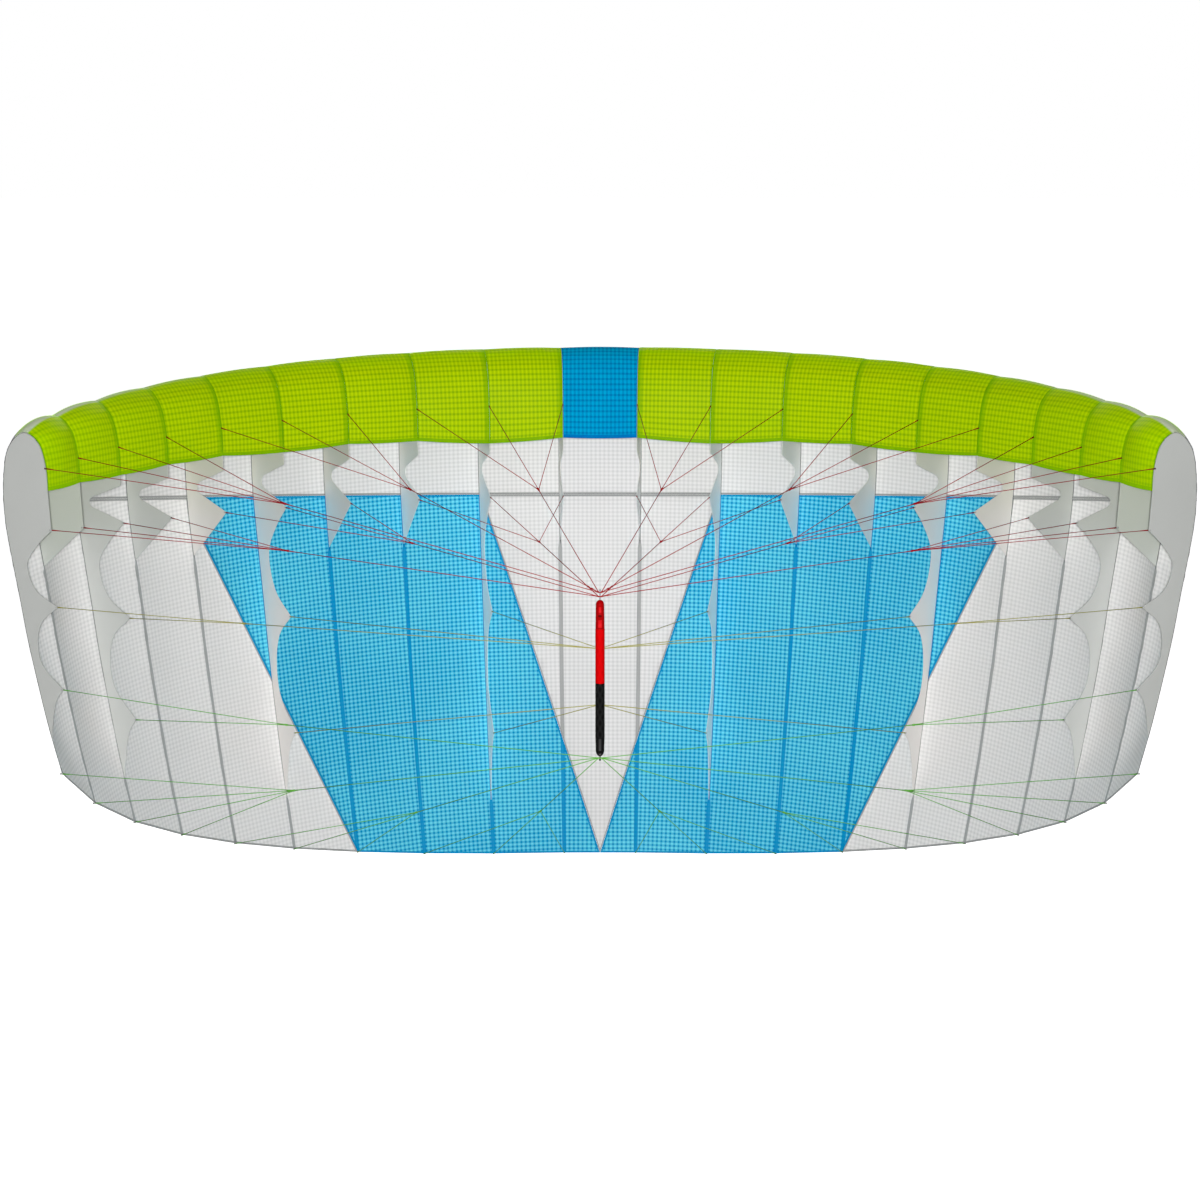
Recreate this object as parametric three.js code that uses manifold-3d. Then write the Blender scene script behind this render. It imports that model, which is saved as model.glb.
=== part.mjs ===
// Parawing: a single-skin kite wing of nineteen cells with its bridle lines and hand bar, in flight.
// Millimetres. +X runs along the span, +Y from the bar to the canopy, +Z towards the leading edge.
// The origin is the middle of the hand bar.
import * as THREE from 'three';
import { mergeVertices } from 'three/addons/utils/BufferGeometryUtils.js';
import Module from 'manifold-3d';

const wasm = await Module();
wasm.setup();

// Arc and planform
const RIBS_PER_HALF = 10;
const MIDDLE_CELL = RIBS_PER_HALF - 1; // cells are counted from the left tip
const CELL_TURN = THREE.MathUtils.degToRad(7.4); // turn from one cell to the next
const CENTRE_CELL_WIDTH = 214;
const CELL_NARROWING = 0.34; // share of its width that the tip cell loses
const ROOT_CHORD = 1500;
const CHORD_LOSS = 0.385; // share of the chord lost evenly towards the tip
const TIP_CUT = 0.018; // share lost more at the very tip
const TIP_CUT_POWER = 10;
const LEADING_EDGE_Z = 589; // at the two middle ribs
const TIP_SWEEP = 100; // how far the tip's leading edge lies aft of that
const LINE_DEPTH = 1500; // from the bar to the lower line of the middle ribs

// Cloth
const SKIN_THICKNESS = 1.2;
const RIB_THICKNESS = 1.2;
const GAP = 0.3; // between neighbouring pieces
const CELL_CROWN = 0.05; // rise of a full middle cell between its ribs, as a share of its width
const TIP_CROWN_GAIN = 2.2; // how much fuller the tip cells stand
const TIP_CROWN_POWER = 6;
const TIP_NOSE_CROWN = 0.75; // least crown of a tip cell's nose behind its lip
const SPAN_STEPS = 3; // facets across a cell

// Rib profile from the lower lip round the nose to the trailing edge.
// aft and up are shares of the chord, crown is the share of CELL_CROWN that the skin takes there.
const PROFILE = [
  { aft: 0.16, up: 0.004, crown: 0.15 },
  { aft: 0.096, up: 0.007, crown: 0.2 },
  { aft: 0.029, up: 0.025, crown: 0.25 },
  { aft: 0.0005, up: 0.053, crown: 0.25 },
  { aft: -0.0065, up: 0.078, crown: 0.25 },
  { aft: 0.01, up: 0.107, crown: 0.4 },
  { aft: 0.048, up: 0.135, crown: 0.7 },
  { aft: 0.108, up: 0.149, crown: 1.0 },
  { aft: 0.195, up: 0.155, crown: 1.0 },
  { aft: 0.28, up: 0.15, crown: 1.0 },
  { aft: 0.386, up: 0.133, crown: 1.0 },
  { aft: 0.49, up: 0.115, crown: 0.9 },
  { aft: 0.6, up: 0.097, crown: 0.8 },
  { aft: 0.74, up: 0.068, crown: 0.6 },
  { aft: 0.87, up: 0.038, crown: 0.45 },
  { aft: 1.0, up: 0.002, crown: 0 },
];
const NOSE_SEAM_ROW = 5; // where the nose panels meet the top skin
const FULL_NOSE_ROW = 2; // the lip's flat run ends here
const FULL_CROWN_ROW = 7; // the round front of the top skin ends here
const SHORT_RIB_ROW = 10; // where a short rib runs out on the skin
const LONG_RIB_ROW = 14.2; // where a long rib runs out on the skin
const LAST_ROW = PROFILE.length - 1;
const SEAM_CLEARANCE = 0.004; // in rows, on each side of the nose seam
const NOSE_SIDE_CLEARANCE = 0.2; // from a nose panel's side to the rib plane

// Lower edge of a rib, from behind the lip to the second line tab, as shares of the chord.
// The two ribs nearest each tip are cut straight between these ends.
const RIB_FRONT_EDGE = [
  { aft: 0.186, up: 0.005 },
  { aft: 0.221, up: 0.098 },
  { aft: 0.228, up: 0.108 },
  { aft: 0.239, up: 0.11 },
  { aft: 0.246, up: 0.102 },
  { aft: 0.2725, up: 0.0 },
  { aft: 0.2755, up: 0.0 },
];
const LAST_NOTCHED_RIB = 8; // counted from the middle of the wing
// Scallops of a long rib: behind the second tab, then behind the third
const SCALLOPS = [
  [
    { aft: 0.2755, up: 0.0 },
    { aft: 0.32, up: 0.047 },
    { aft: 0.38, up: 0.085 },
    { aft: 0.455, up: 0.06 },
    { aft: 0.4985, up: -0.008 },
  ],
  [
    { aft: 0.5015, up: -0.008 },
    { aft: 0.548, up: 0.045 },
    { aft: 0.606, up: 0.062 },
    { aft: 0.675, up: 0.05 },
    { aft: 0.7435, up: -0.015 },
  ],
];
// Tail of a long rib, behind its last tab
const TAIL = [
  { aft: 0.7465, up: -0.015 },
  { aft: 0.77, up: 0.0034 },
  { aft: 0.8, up: 0.0148 },
  { aft: 0.84, up: 0.022 },
  { aft: 0.875, up: 0.0272 },
];
const LONG_RIBS = [2, 5, 8, 10];
const SCALLOP_STEPS = 8; // facets along a scallop

// Cross seam of the top skin: its height at one depth, and its slope with depth
const CROSS_SEAM = { y: 1691, z: 149.5, slope: -0.152 };
// Seams of the right half from the cross seam to the trailing edge. At the depth y a seam runs in
// plan between these ends, and it lies further out by its lean for each millimetre of depth.
const WEDGE_SEAM = { foreX: 354, foreZ: 140, aftX: 0, aftZ: -911, y: 1691, lean: 0 };
const OUTER_SEAM = { foreX: 1195, foreZ: 212, aftX: 707, aftZ: -856, y: 1310, lean: 0.23 };
const CUTTER_REACH = 3000; // larger than the wing

// Hand bar along Z: front end, then the lower end of each piece
const BAR_FRONT_Z = 190;
const FRONT_CAP_Z = 121;
const FRONT_GRIP_Z = -11;
const REAR_GRIP_Z = -143;
const BAR_REAR_Z = -190;
const GRIP_RADIUS = 11.1;
// Caps: radius at the joint with the grip, radius where the rounded end starts and that end's length
const FRONT_CAP = { jointRadius: 10.7, shoulderRadius: 9.9, endLength: 12 };
const REAR_CAP = { jointRadius: 11, shoulderRadius: 10.1, endLength: 16 };
const GRIP_CHAMFER = 0.8;
const BAR_SIDES = 16;
const CAP_STEPS = 4; // facets from a cap's side to its tip

// Lines
const CORD_RADIUS = 1.0;
const CORD_SIDES = 4;
const CORD_CLEARANCE = 1.0; // from a cord's end to the tab that it is tied to
const KNOT_RADIUS = 2.4;
const KNOT_LENGTH = 22;
const PIGTAIL_RADIUS = 1.5;
const PIGTAIL_LENGTH = { front: 22, rear: 8 };
const STOPPER_RADIUS = 3.2;
const LOOP_RADIUS = 3.2; // of a line set's loop round a pigtail
const LOOP_CORD_RADIUS = 1.2;
const LOOP_FACETS = { round: 12, section: 6 };
const BACK_KNOT_RADIUS = 3;

// Line tabs on a rib, as shares of the chord
const TABS = {
  A: { aft: 0.096, up: 0.007 },
  B: { aft: 0.274, up: 0 },
  C: { aft: 0.5, up: -0.008 },
  D: { aft: 0.745, up: -0.015 },
  trailing: { aft: 1.0, up: 0.002 },
};
// Where each line set ends on the bar
const LINE_ENDS = {
  A: { kind: 'loop', z: 208, finish: 'redLine' },
  B: { kind: 'loop', z: 198, finish: 'redLine' },
  C: { kind: 'back', z: 69, finish: 'oliveLine' },
  D: { kind: 'back', z: -67, finish: 'oliveLine' },
  rear: { kind: 'loop', z: -194, finish: 'greenLine' },
};
// Cords of each set: the tabs of these ribs run to a knot that lies this share of the way from
// the bar to the middle of the tabs. A single rib has no knot.
const CASCADES = [
  { set: 'A', tab: 'A', ribs: [1, 2, 3], knot: 0.5 },
  { set: 'A', tab: 'A', ribs: [4, 5, 6], knot: 0.555 },
  { set: 'A', tab: 'A', ribs: [7, 8, 9, 10], knot: 0.605 },
  { set: 'B', tab: 'B', ribs: [1, 2, 3], knot: 0.5 },
  { set: 'B', tab: 'B', ribs: [4, 5, 6], knot: 0.555 },
  { set: 'B', tab: 'B', ribs: [7, 8, 9, 10], knot: 0.605 },
  { set: 'C', tab: 'C', ribs: [2] },
  { set: 'C', tab: 'C', ribs: [5] },
  { set: 'C', tab: 'C', ribs: [8, 10], knot: 0.68 },
  { set: 'D', tab: 'D', ribs: [2] },
  { set: 'D', tab: 'D', ribs: [5] },
  { set: 'rear', tab: 'D', ribs: [8, 10], knot: 0.6 },
  { set: 'rear', tab: 'trailing', ribs: [1, 2, 3], knot: 0.5 },
  { set: 'rear', tab: 'trailing', ribs: [4, 5, 6], knot: 0.555 },
  { set: 'rear', tab: 'trailing', ribs: [7, 8, 9, 10], knot: 0.605 },
];

// Colour and roughness of each cloth, cord and moulding
const FINISHES = {
  white: { color: 0xe4e4e6, roughness: 0.5 },
  blue: { color: 0x35b3e2, roughness: 0.5 },
  noseBlue: { color: 0x0091d6, roughness: 0.45 },
  green: { color: 0xa6d000, roughness: 0.45 },
  ribCloth: { color: 0xc4c6c8, roughness: 0.6 },
  redLine: { color: 0xa01420, roughness: 0.7 },
  oliveLine: { color: 0x8a8a3a, roughness: 0.7 },
  greenLine: { color: 0x5f9a3a, roughness: 0.7 },
  pigtail: { color: 0x55555a, roughness: 0.7 },
  redGrip: { color: 0xd80812, roughness: 0.55 },
  redCap: { color: 0xc80812, roughness: 0.4 },
  blackGrip: { color: 0x161618, roughness: 0.55 },
  darkCap: { color: 0x2c2c2f, roughness: 0.4 },
};

const group = new THREE.Group();

function addMesh(name, geometry, finish) {
  const material = new THREE.MeshStandardMaterial({ ...finish, metalness: 0 });
  const mesh = new THREE.Mesh(geometry, material);
  mesh.name = name;
  group.add(mesh);
  return mesh;
}

// Solids for joining and cutting
function toManifold(geometry) {
  const bare = geometry.clone();
  bare.deleteAttribute('normal');
  bare.deleteAttribute('uv');
  const merged = mergeVertices(bare);
  return new wasm.Manifold(
    new wasm.Mesh({
      numProp: 3,
      vertProperties: new Float32Array(merged.attributes.position.array),
      triVerts: new Uint32Array(merged.index.array),
    }),
  );
}

function toGeometry(solid) {
  const mesh = solid.getMesh();
  const geometry = new THREE.BufferGeometry();
  geometry.setAttribute('position', new THREE.BufferAttribute(mesh.vertProperties, mesh.numProp));
  geometry.setIndex(new THREE.BufferAttribute(mesh.triVerts, 1));
  geometry.computeVertexNormals();
  return geometry;
}

// Ribs of the wing from the left tip to the right one, each with the frame of its own plane:
// x runs aft along the chord, y runs up from the lines to the skin.
function makeRibStations() {
  const half = [];
  let x = CENTRE_CELL_WIDTH / 2;
  let drop = 0;
  for (let number = 1; number <= RIBS_PER_HALF; number += 1) {
    const reach = (number - 1) / (RIBS_PER_HALF - 1);
    half.push({
      number,
      x,
      y: LINE_DEPTH - drop,
      z: LEADING_EDGE_Z - TIP_SWEEP * reach ** 2,
      tilt: (number - 0.5) * CELL_TURN,
      chord: ROOT_CHORD * (1 - CHORD_LOSS * reach ** 2 - TIP_CUT * reach ** TIP_CUT_POWER),
    });
    const cellReach = number / (RIBS_PER_HALF - 1);
    const width = CENTRE_CELL_WIDTH * (1 - CELL_NARROWING * cellReach ** 2);
    x += width * Math.cos(number * CELL_TURN);
    drop += width * Math.sin(number * CELL_TURN);
  }
  const left = half.map((rib) => ({ ...rib, side: 'L', x: -rib.x, tilt: -rib.tilt })).reverse();
  const right = half.map((rib) => ({ ...rib, side: 'R' }));
  return [...left, ...right].map((rib) => {
    const aft = new THREE.Vector3(0, 0, -1);
    const up = new THREE.Vector3(Math.sin(rib.tilt), Math.cos(rib.tilt), 0);
    const across = new THREE.Vector3().crossVectors(aft, up);
    const frame = new THREE.Matrix4().makeBasis(aft, up, across).setPosition(rib.x, rib.y, rib.z);
    return { ...rib, up, frame };
  });
}

const ribs = makeRibStations();

const profileCurve = new THREE.CatmullRomCurve3(
  PROFILE.map((row) => new THREE.Vector3(row.aft, row.up, 0)),
);

// Profile at a row, which may lie between two rows of the table
function profileAt(row) {
  const point = profileCurve.getPoint(row / LAST_ROW);
  const along = profileCurve.getTangent(row / LAST_ROW);
  const before = PROFILE[Math.floor(row)];
  const after = PROFILE[Math.ceil(row)];
  return {
    row,
    aft: point.x,
    up: point.y,
    outwardAft: -along.y,
    outwardUp: along.x,
    crown: THREE.MathUtils.lerp(before.crown, after.crown, row % 1),
  };
}

// Point of the profile in the plane of a rib, this far inside the skin's outer face
function inRibPlane(rib, section, inset) {
  return new THREE.Vector2(
    section.aft * rib.chord - section.outwardAft * inset,
    section.up * rib.chord - section.outwardUp * inset,
  );
}

function outOfRibPlane(rib, point) {
  return new THREE.Vector3(point.x, point.y, 0).applyMatrix4(rib.frame);
}

function evenRows(from, to, stepsPerRow) {
  const count = Math.round((to - from) * stepsPerRow);
  return Array.from({ length: count + 1 }, (_, step) => from + ((to - from) * step) / count);
}

const noseRows = evenRows(0, NOSE_SEAM_ROW, 2);
const skinRows = [
  ...evenRows(NOSE_SEAM_ROW, FULL_CROWN_ROW, 2),
  ...evenRows(FULL_CROWN_ROW, LAST_ROW, 1).slice(1),
];

// Crown that a tip cell takes more of: its nose stands as full as its skin
function tipCrown({ row, crown }) {
  if (row > FULL_CROWN_ROW) return crown;
  return Math.max(crown, TIP_NOSE_CROWN * Math.min(1, row / FULL_NOSE_ROW));
}

// Point of the skin between two ribs, this share of the way across the cell
function skinPoint(cell, share, section, inset) {
  const [left, right] = [ribs[cell], ribs[cell + 1]];
  const start = outOfRibPlane(left, inRibPlane(left, section, inset));
  const end = outOfRibPlane(right, inRibPlane(right, section, inset));
  const outward = new THREE.Vector3()
    .addVectors(left.up, right.up)
    .normalize()
    .multiplyScalar(section.outwardUp)
    .add(new THREE.Vector3(0, 0, -section.outwardAft));
  const reach = Math.abs(cell - MIDDLE_CELL) / MIDDLE_CELL;
  const tipGain = TIP_CROWN_GAIN * reach ** TIP_CROWN_POWER;
  const fullness = CELL_CROWN * (section.crown + tipCrown(section) * tipGain);
  const rise = fullness * start.distanceTo(end) * 4 * share * (1 - share);
  return start.lerp(end, share).addScaledVector(outward, rise);
}

// Closed sheet from rows of points on its outer and inner faces
function sheetGeometry(outer, inner) {
  const rows = outer.length;
  const columns = outer[0].length;
  const count = rows * columns;
  const at = (row, column) => row * columns + column;
  const index = [];
  for (let row = 0; row < rows - 1; row += 1) {
    for (let column = 0; column < columns - 1; column += 1) {
      const [a, b] = [at(row, column), at(row, column + 1)];
      const [c, d] = [at(row + 1, column), at(row + 1, column + 1)];
      index.push(a, b, c, b, d, c);
      index.push(a + count, c + count, b + count, b + count, c + count, d + count);
    }
  }
  const rim = [];
  for (let column = 0; column < columns; column += 1) rim.push(at(0, column));
  for (let row = 1; row < rows; row += 1) rim.push(at(row, columns - 1));
  for (let column = columns - 2; column >= 0; column -= 1) rim.push(at(rows - 1, column));
  for (let row = rows - 2; row > 0; row -= 1) rim.push(at(row, 0));
  rim.forEach((from, step) => {
    const to = rim[(step + 1) % rim.length];
    index.push(to, from, from + count, to, from + count, to + count);
  });
  const geometry = new THREE.BufferGeometry().setFromPoints([...outer.flat(), ...inner.flat()]);
  geometry.setIndex(index);
  geometry.computeVertexNormals();
  return geometry;
}

// Nose panels, one per cell
function cellName(cell) {
  if (cell === MIDDLE_CELL) return 'C';
  return cell < MIDDLE_CELL ? `L${MIDDLE_CELL - cell}` : `R${cell - MIDDLE_CELL}`;
}

function nosePanel(cell) {
  const [left, right] = [ribs[cell], ribs[cell + 1]];
  const sideGap = NOSE_SIDE_CLEARANCE / Math.hypot(right.x - left.x, right.y - left.y);
  const shares = Array.from({ length: SPAN_STEPS + 1 }, (_, step) =>
    THREE.MathUtils.clamp(step / SPAN_STEPS, sideGap, 1 - sideGap),
  );
  const rows = noseRows.map((row) => Math.min(row, NOSE_SEAM_ROW - SEAM_CLEARANCE));
  const face = (inset) =>
    rows.map((row) => shares.map((share) => skinPoint(cell, share, profileAt(row), inset)));
  return sheetGeometry(face(0), face(SKIN_THICKNESS));
}

for (let cell = 0; cell < ribs.length - 1; cell += 1) {
  const name = cellName(cell);
  addMesh(`nose_${name}`, nosePanel(cell), name === 'C' ? FINISHES.noseBlue : FINISHES.green);
}

// Top skin: one sheet over all the ribs, cut along the straight seams of its colour fields
function topSkin() {
  const rows = skinRows.map((row) => Math.max(row, NOSE_SEAM_ROW + SEAM_CLEARANCE));
  const columns = [];
  for (let cell = 0; cell < ribs.length - 1; cell += 1) {
    for (let step = 0; step < SPAN_STEPS; step += 1) columns.push([cell, step / SPAN_STEPS]);
  }
  columns.push([ribs.length - 2, 1]);
  const face = (inset) =>
    rows.map((row) => {
      const section = profileAt(row);
      return columns.map(([cell, share]) => skinPoint(cell, share, section, inset));
    });
  return toManifold(sheetGeometry(face(0), face(SKIN_THICKNESS)));
}

// Everything ahead of the cross seam, or behind it
function crossSeamCutter(side) {
  const seamZ = (y) => CROSS_SEAM.z + CROSS_SEAM.slope * (y - CROSS_SEAM.y) + (side * GAP) / 2;
  const shape = new THREE.Shape([
    new THREE.Vector2(0, seamZ(0)),
    new THREE.Vector2(CUTTER_REACH, seamZ(CUTTER_REACH)),
    new THREE.Vector2(CUTTER_REACH, side * CUTTER_REACH),
    new THREE.Vector2(0, side * CUTTER_REACH),
  ]);
  const prism = new THREE.ExtrudeGeometry(shape, { depth: 2 * CUTTER_REACH, bevelEnabled: false });
  const toSeam = new THREE.Matrix4().makeBasis(
    new THREE.Vector3(0, 1, 0),
    new THREE.Vector3(0, 0, 1),
    new THREE.Vector3(1, 0, 0),
  );
  prism.applyMatrix4(toSeam).translate(-CUTTER_REACH, 0, 0);
  return toManifold(prism);
}

// Everything on the outboard side of a seam, or on its inboard side, through the depth of the wing
function seamCutter(seam, half, isOutboard) {
  const farX = isOutboard ? CUTTER_REACH : -CUTTER_REACH;
  const gapX = isOutboard ? GAP / 2 : -GAP / 2;
  const seamX = (z) => {
    const share = (z - seam.aftZ) / (seam.foreZ - seam.aftZ);
    return THREE.MathUtils.lerp(seam.aftX, seam.foreX, share) + gapX;
  };
  const corners = [
    [seamX(-CUTTER_REACH), -CUTTER_REACH],
    [farX, -CUTTER_REACH],
    [farX, CUTTER_REACH],
    [seamX(CUTTER_REACH), CUTTER_REACH],
  ];
  const mirror = half === 'L' ? -1 : 1;
  const shape = new THREE.Shape(corners.map(([x, z]) => new THREE.Vector2(mirror * x, z)));
  const prism = new THREE.ExtrudeGeometry(shape, { depth: CUTTER_REACH, bevelEnabled: false });
  prism.rotateX(Math.PI / 2).translate(0, CUTTER_REACH, 0);
  const lean = mirror * seam.lean;
  prism.applyMatrix4(new THREE.Matrix4().makeShear(0, 0, lean, 0, 0, 0));
  prism.translate(-lean * seam.y, 0, 0);
  return toManifold(prism);
}

function addTopSkin() {
  const skin = topSkin();
  addMesh('skin_front', toGeometry(skin.intersect(crossSeamCutter(1))), FINISHES.white);
  let centre = skin.intersect(crossSeamCutter(-1));
  ['L', 'R'].forEach((half) => {
    const outer = centre.intersect(seamCutter(OUTER_SEAM, half, true));
    const blue = centre
      .intersect(seamCutter(OUTER_SEAM, half, false))
      .intersect(seamCutter(WEDGE_SEAM, half, true));
    addMesh(`skin_outer_${half}`, toGeometry(outer), FINISHES.white);
    addMesh(`skin_blue_${half}`, toGeometry(blue), FINISHES.blue);
    centre = centre.intersect(seamCutter(WEDGE_SEAM, half, false));
  });
  addMesh('skin_centre', toGeometry(centre), FINISHES.white);
}

addTopSkin();

// Ribs: flat cloth under the skin, with a lower edge cut out between the line tabs
function smoothEdge(rows, steps) {
  const points = rows.map((row) => new THREE.Vector3(row.aft, row.up, 0));
  return new THREE.CatmullRomCurve3(points)
    .getPoints(steps)
    .map((point) => ({ aft: point.x, up: point.y }));
}

function ribLowerEdge({ number }) {
  const isNotched = number <= LAST_NOTCHED_RIB;
  const front = isNotched ? RIB_FRONT_EDGE : [RIB_FRONT_EDGE[0], ...RIB_FRONT_EDGE.slice(-2)];
  if (!LONG_RIBS.includes(number)) return front;
  const scallops = SCALLOPS.map((rows) => smoothEdge(rows, SCALLOP_STEPS));
  return [...front.slice(0, -1), ...scallops.flat(), ...TAIL];
}

function ribGeometry(rib) {
  const lastRow = LONG_RIBS.includes(rib.number) ? LONG_RIB_ROW : SHORT_RIB_ROW;
  const rows = [...noseRows, ...skinRows.slice(1)].filter((row) => row <= lastRow);
  const edgePoint = (row) => inRibPlane(rib, profileAt(row), SKIN_THICKNESS + GAP);
  const upperEdge = rows.map(edgePoint);
  if (lastRow % 1 > 0) {
    upperEdge.push(edgePoint(Math.floor(lastRow)).lerp(edgePoint(Math.ceil(lastRow)), lastRow % 1));
  }
  const lowerEdge = ribLowerEdge(rib).map(
    (row) => new THREE.Vector2(row.aft * rib.chord, row.up * rib.chord),
  );
  const outline = new THREE.Shape([...upperEdge, ...lowerEdge.reverse()]);
  const cloth = new THREE.ExtrudeGeometry(outline, { depth: RIB_THICKNESS, bevelEnabled: false });
  return cloth.translate(0, 0, -RIB_THICKNESS / 2);
}

ribs.forEach((rib) => {
  const mesh = addMesh(`rib_${rib.side}${rib.number}`, ribGeometry(rib), FINISHES.ribCloth);
  mesh.applyMatrix4(rib.frame);
});

// Lines
function cord(from, to, radius) {
  const along = new THREE.Vector3().subVectors(to, from);
  const geometry = new THREE.CylinderGeometry(radius, radius, along.length(), CORD_SIDES);
  return placedAlong(geometry, along, from.clone().lerp(to, 0.5));
}

function knot(at, along) {
  const geometry = new THREE.IcosahedronGeometry(1);
  geometry.scale(KNOT_RADIUS, KNOT_LENGTH / 2, KNOT_RADIUS);
  return placedAlong(geometry, along, at);
}

function placedAlong(geometry, along, centre) {
  const direction = along.clone().normalize();
  const turn = new THREE.Quaternion().setFromUnitVectors(new THREE.Vector3(0, 1, 0), direction);
  geometry.applyQuaternion(turn).translate(centre.x, centre.y, centre.z);
  return toManifold(geometry);
}

// Tab of a rib where a cord is tied: on the lower face of the nose, at the tip of a rib's tab,
// or on the inner face of the skin at the trailing edge
function tabPoint(rib, tab) {
  const { aft, up } = TABS[tab];
  const depth = tab === 'trailing' ? SKIN_THICKNESS : 0;
  return outOfRibPlane(rib, new THREE.Vector2(aft * rib.chord, up * rib.chord - depth));
}

// Cords of one cascade on one side of the wing, down to the point where they end at the bar
function cascadeCords({ tab, ribs: numbers, knot: knotShare }, side, barPoint) {
  const tabs = ribs
    .filter((rib) => rib.side === side && numbers.includes(rib.number))
    .map((rib) => tabPoint(rib, tab));
  const middle = new THREE.Vector3();
  tabs.forEach((point) => middle.addScaledVector(point, 1 / tabs.length));
  const meeting = barPoint.clone().lerp(middle, knotShare ?? 0);
  const pieces = tabs.map((point) => {
    const clear = new THREE.Vector3().subVectors(meeting, point).setLength(CORD_CLEARANCE);
    return cord(point.add(clear), meeting, CORD_RADIUS);
  });
  if (knotShare) {
    const main = new THREE.Vector3().subVectors(meeting, barPoint);
    pieces.push(cord(barPoint, meeting, CORD_RADIUS), knot(meeting, main));
  }
  return pieces;
}

// End of a line set: a loop round a pigtail, or a knot on the back of a grip
function lineEnd({ kind, z }) {
  if (kind === 'loop') {
    const loop = new THREE.TorusGeometry(
      LOOP_RADIUS,
      LOOP_CORD_RADIUS,
      LOOP_FACETS.section,
      LOOP_FACETS.round,
    );
    return { solid: toManifold(loop.translate(0, 0, z)), sideX: LOOP_RADIUS, y: 0 };
  }
  const y = GRIP_RADIUS + GAP + BACK_KNOT_RADIUS;
  const ball = new THREE.IcosahedronGeometry(BACK_KNOT_RADIUS, 1);
  return { solid: toManifold(ball.translate(0, y, z)), sideX: 0, y };
}

Object.entries(LINE_ENDS).forEach(([set, place]) => {
  const end = lineEnd(place);
  const pieces = CASCADES.filter((cascade) => cascade.set === set).flatMap((cascade) =>
    ['L', 'R'].flatMap((side) => {
      const x = side === 'L' ? -end.sideX : end.sideX;
      return cascadeCords(cascade, side, new THREE.Vector3(x, end.y, place.z));
    }),
  );
  const solid = pieces.reduce((joined, piece) => joined.add(piece), end.solid);
  addMesh(`lines_${set}`, toGeometry(solid), FINISHES[place.finish]);
});

// Hand bar
function turned(profile) {
  const points = profile.map(([radius, z]) => new THREE.Vector2(radius, z));
  return new THREE.LatheGeometry(points, BAR_SIDES).rotateX(Math.PI / 2);
}

function grip(lowZ, highZ) {
  return turned([
    [0, lowZ],
    [GRIP_RADIUS - GRIP_CHAMFER, lowZ],
    [GRIP_RADIUS, lowZ + GRIP_CHAMFER],
    [GRIP_RADIUS, highZ - GRIP_CHAMFER],
    [GRIP_RADIUS - GRIP_CHAMFER, highZ],
    [0, highZ],
  ]);
}

// Cap from its flat joint with a grip, tapered to its rounded end
function endCap(jointZ, endZ, { jointRadius, shoulderRadius, endLength }) {
  const outward = Math.sign(endZ - jointZ);
  const shoulder = endZ - outward * endLength;
  const profile = [
    [0, jointZ],
    [jointRadius, jointZ],
  ];
  for (let step = 0; step <= CAP_STEPS; step += 1) {
    const angle = (step / CAP_STEPS) * (Math.PI / 2);
    const radius = step === CAP_STEPS ? 0 : shoulderRadius * Math.cos(angle);
    profile.push([radius, shoulder + outward * endLength * Math.sin(angle)]);
  }
  return turned(outward > 0 ? profile : profile.reverse());
}

addMesh('bar_cap_front', endCap(FRONT_CAP_Z + GAP, BAR_FRONT_Z, FRONT_CAP), FINISHES.redCap);
addMesh('bar_grip_front', grip(FRONT_GRIP_Z + GAP, FRONT_CAP_Z), FINISHES.redGrip);
addMesh('bar_grip_rear', grip(REAR_GRIP_Z, FRONT_GRIP_Z), FINISHES.blackGrip);
addMesh('bar_cap_rear', endCap(REAR_GRIP_Z - GAP, BAR_REAR_Z, REAR_CAP), FINISHES.darkCap);

// Pigtails: a short cord with a stopper knot out of each end of the bar
function pigtail(barEndZ, length) {
  const outward = Math.sign(barEndZ);
  const start = new THREE.Vector3(0, 0, barEndZ + outward * GAP);
  const end = new THREE.Vector3(0, 0, barEndZ + outward * length);
  const stopper = new THREE.IcosahedronGeometry(STOPPER_RADIUS, 1).translate(0, 0, end.z);
  return toGeometry(cord(start, end, PIGTAIL_RADIUS).add(toManifold(stopper)));
}

addMesh('pigtail_front', pigtail(BAR_FRONT_Z, PIGTAIL_LENGTH.front), FINISHES.pigtail);
addMesh('pigtail_rear', pigtail(BAR_REAR_Z, PIGTAIL_LENGTH.rear), FINISHES.pigtail);

export default group;
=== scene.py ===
# Looks of a single-skin parawing in flight: its cloth, lines and hand bar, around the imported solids.
# Metres. +X runs along the span, +Y from the bar to the canopy, +Z towards the leading edge.
import math
from collections import namedtuple

import bmesh
import bpy
from mathutils import Matrix, Vector


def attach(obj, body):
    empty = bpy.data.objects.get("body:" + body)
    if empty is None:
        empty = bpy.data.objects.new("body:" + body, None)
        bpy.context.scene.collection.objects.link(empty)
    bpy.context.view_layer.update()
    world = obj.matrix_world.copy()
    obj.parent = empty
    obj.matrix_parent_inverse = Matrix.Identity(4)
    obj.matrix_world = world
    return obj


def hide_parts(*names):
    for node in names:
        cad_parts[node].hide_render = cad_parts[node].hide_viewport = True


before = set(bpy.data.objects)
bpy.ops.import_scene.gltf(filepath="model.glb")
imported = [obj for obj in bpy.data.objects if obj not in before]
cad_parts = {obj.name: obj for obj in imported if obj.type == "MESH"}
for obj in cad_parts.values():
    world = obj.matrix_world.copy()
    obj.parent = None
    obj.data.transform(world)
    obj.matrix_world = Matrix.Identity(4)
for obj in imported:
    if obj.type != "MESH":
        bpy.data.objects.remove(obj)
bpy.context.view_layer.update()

# Arc and planform
RIBS_PER_HALF = 10
CELLS = 2 * RIBS_PER_HALF - 1
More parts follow.
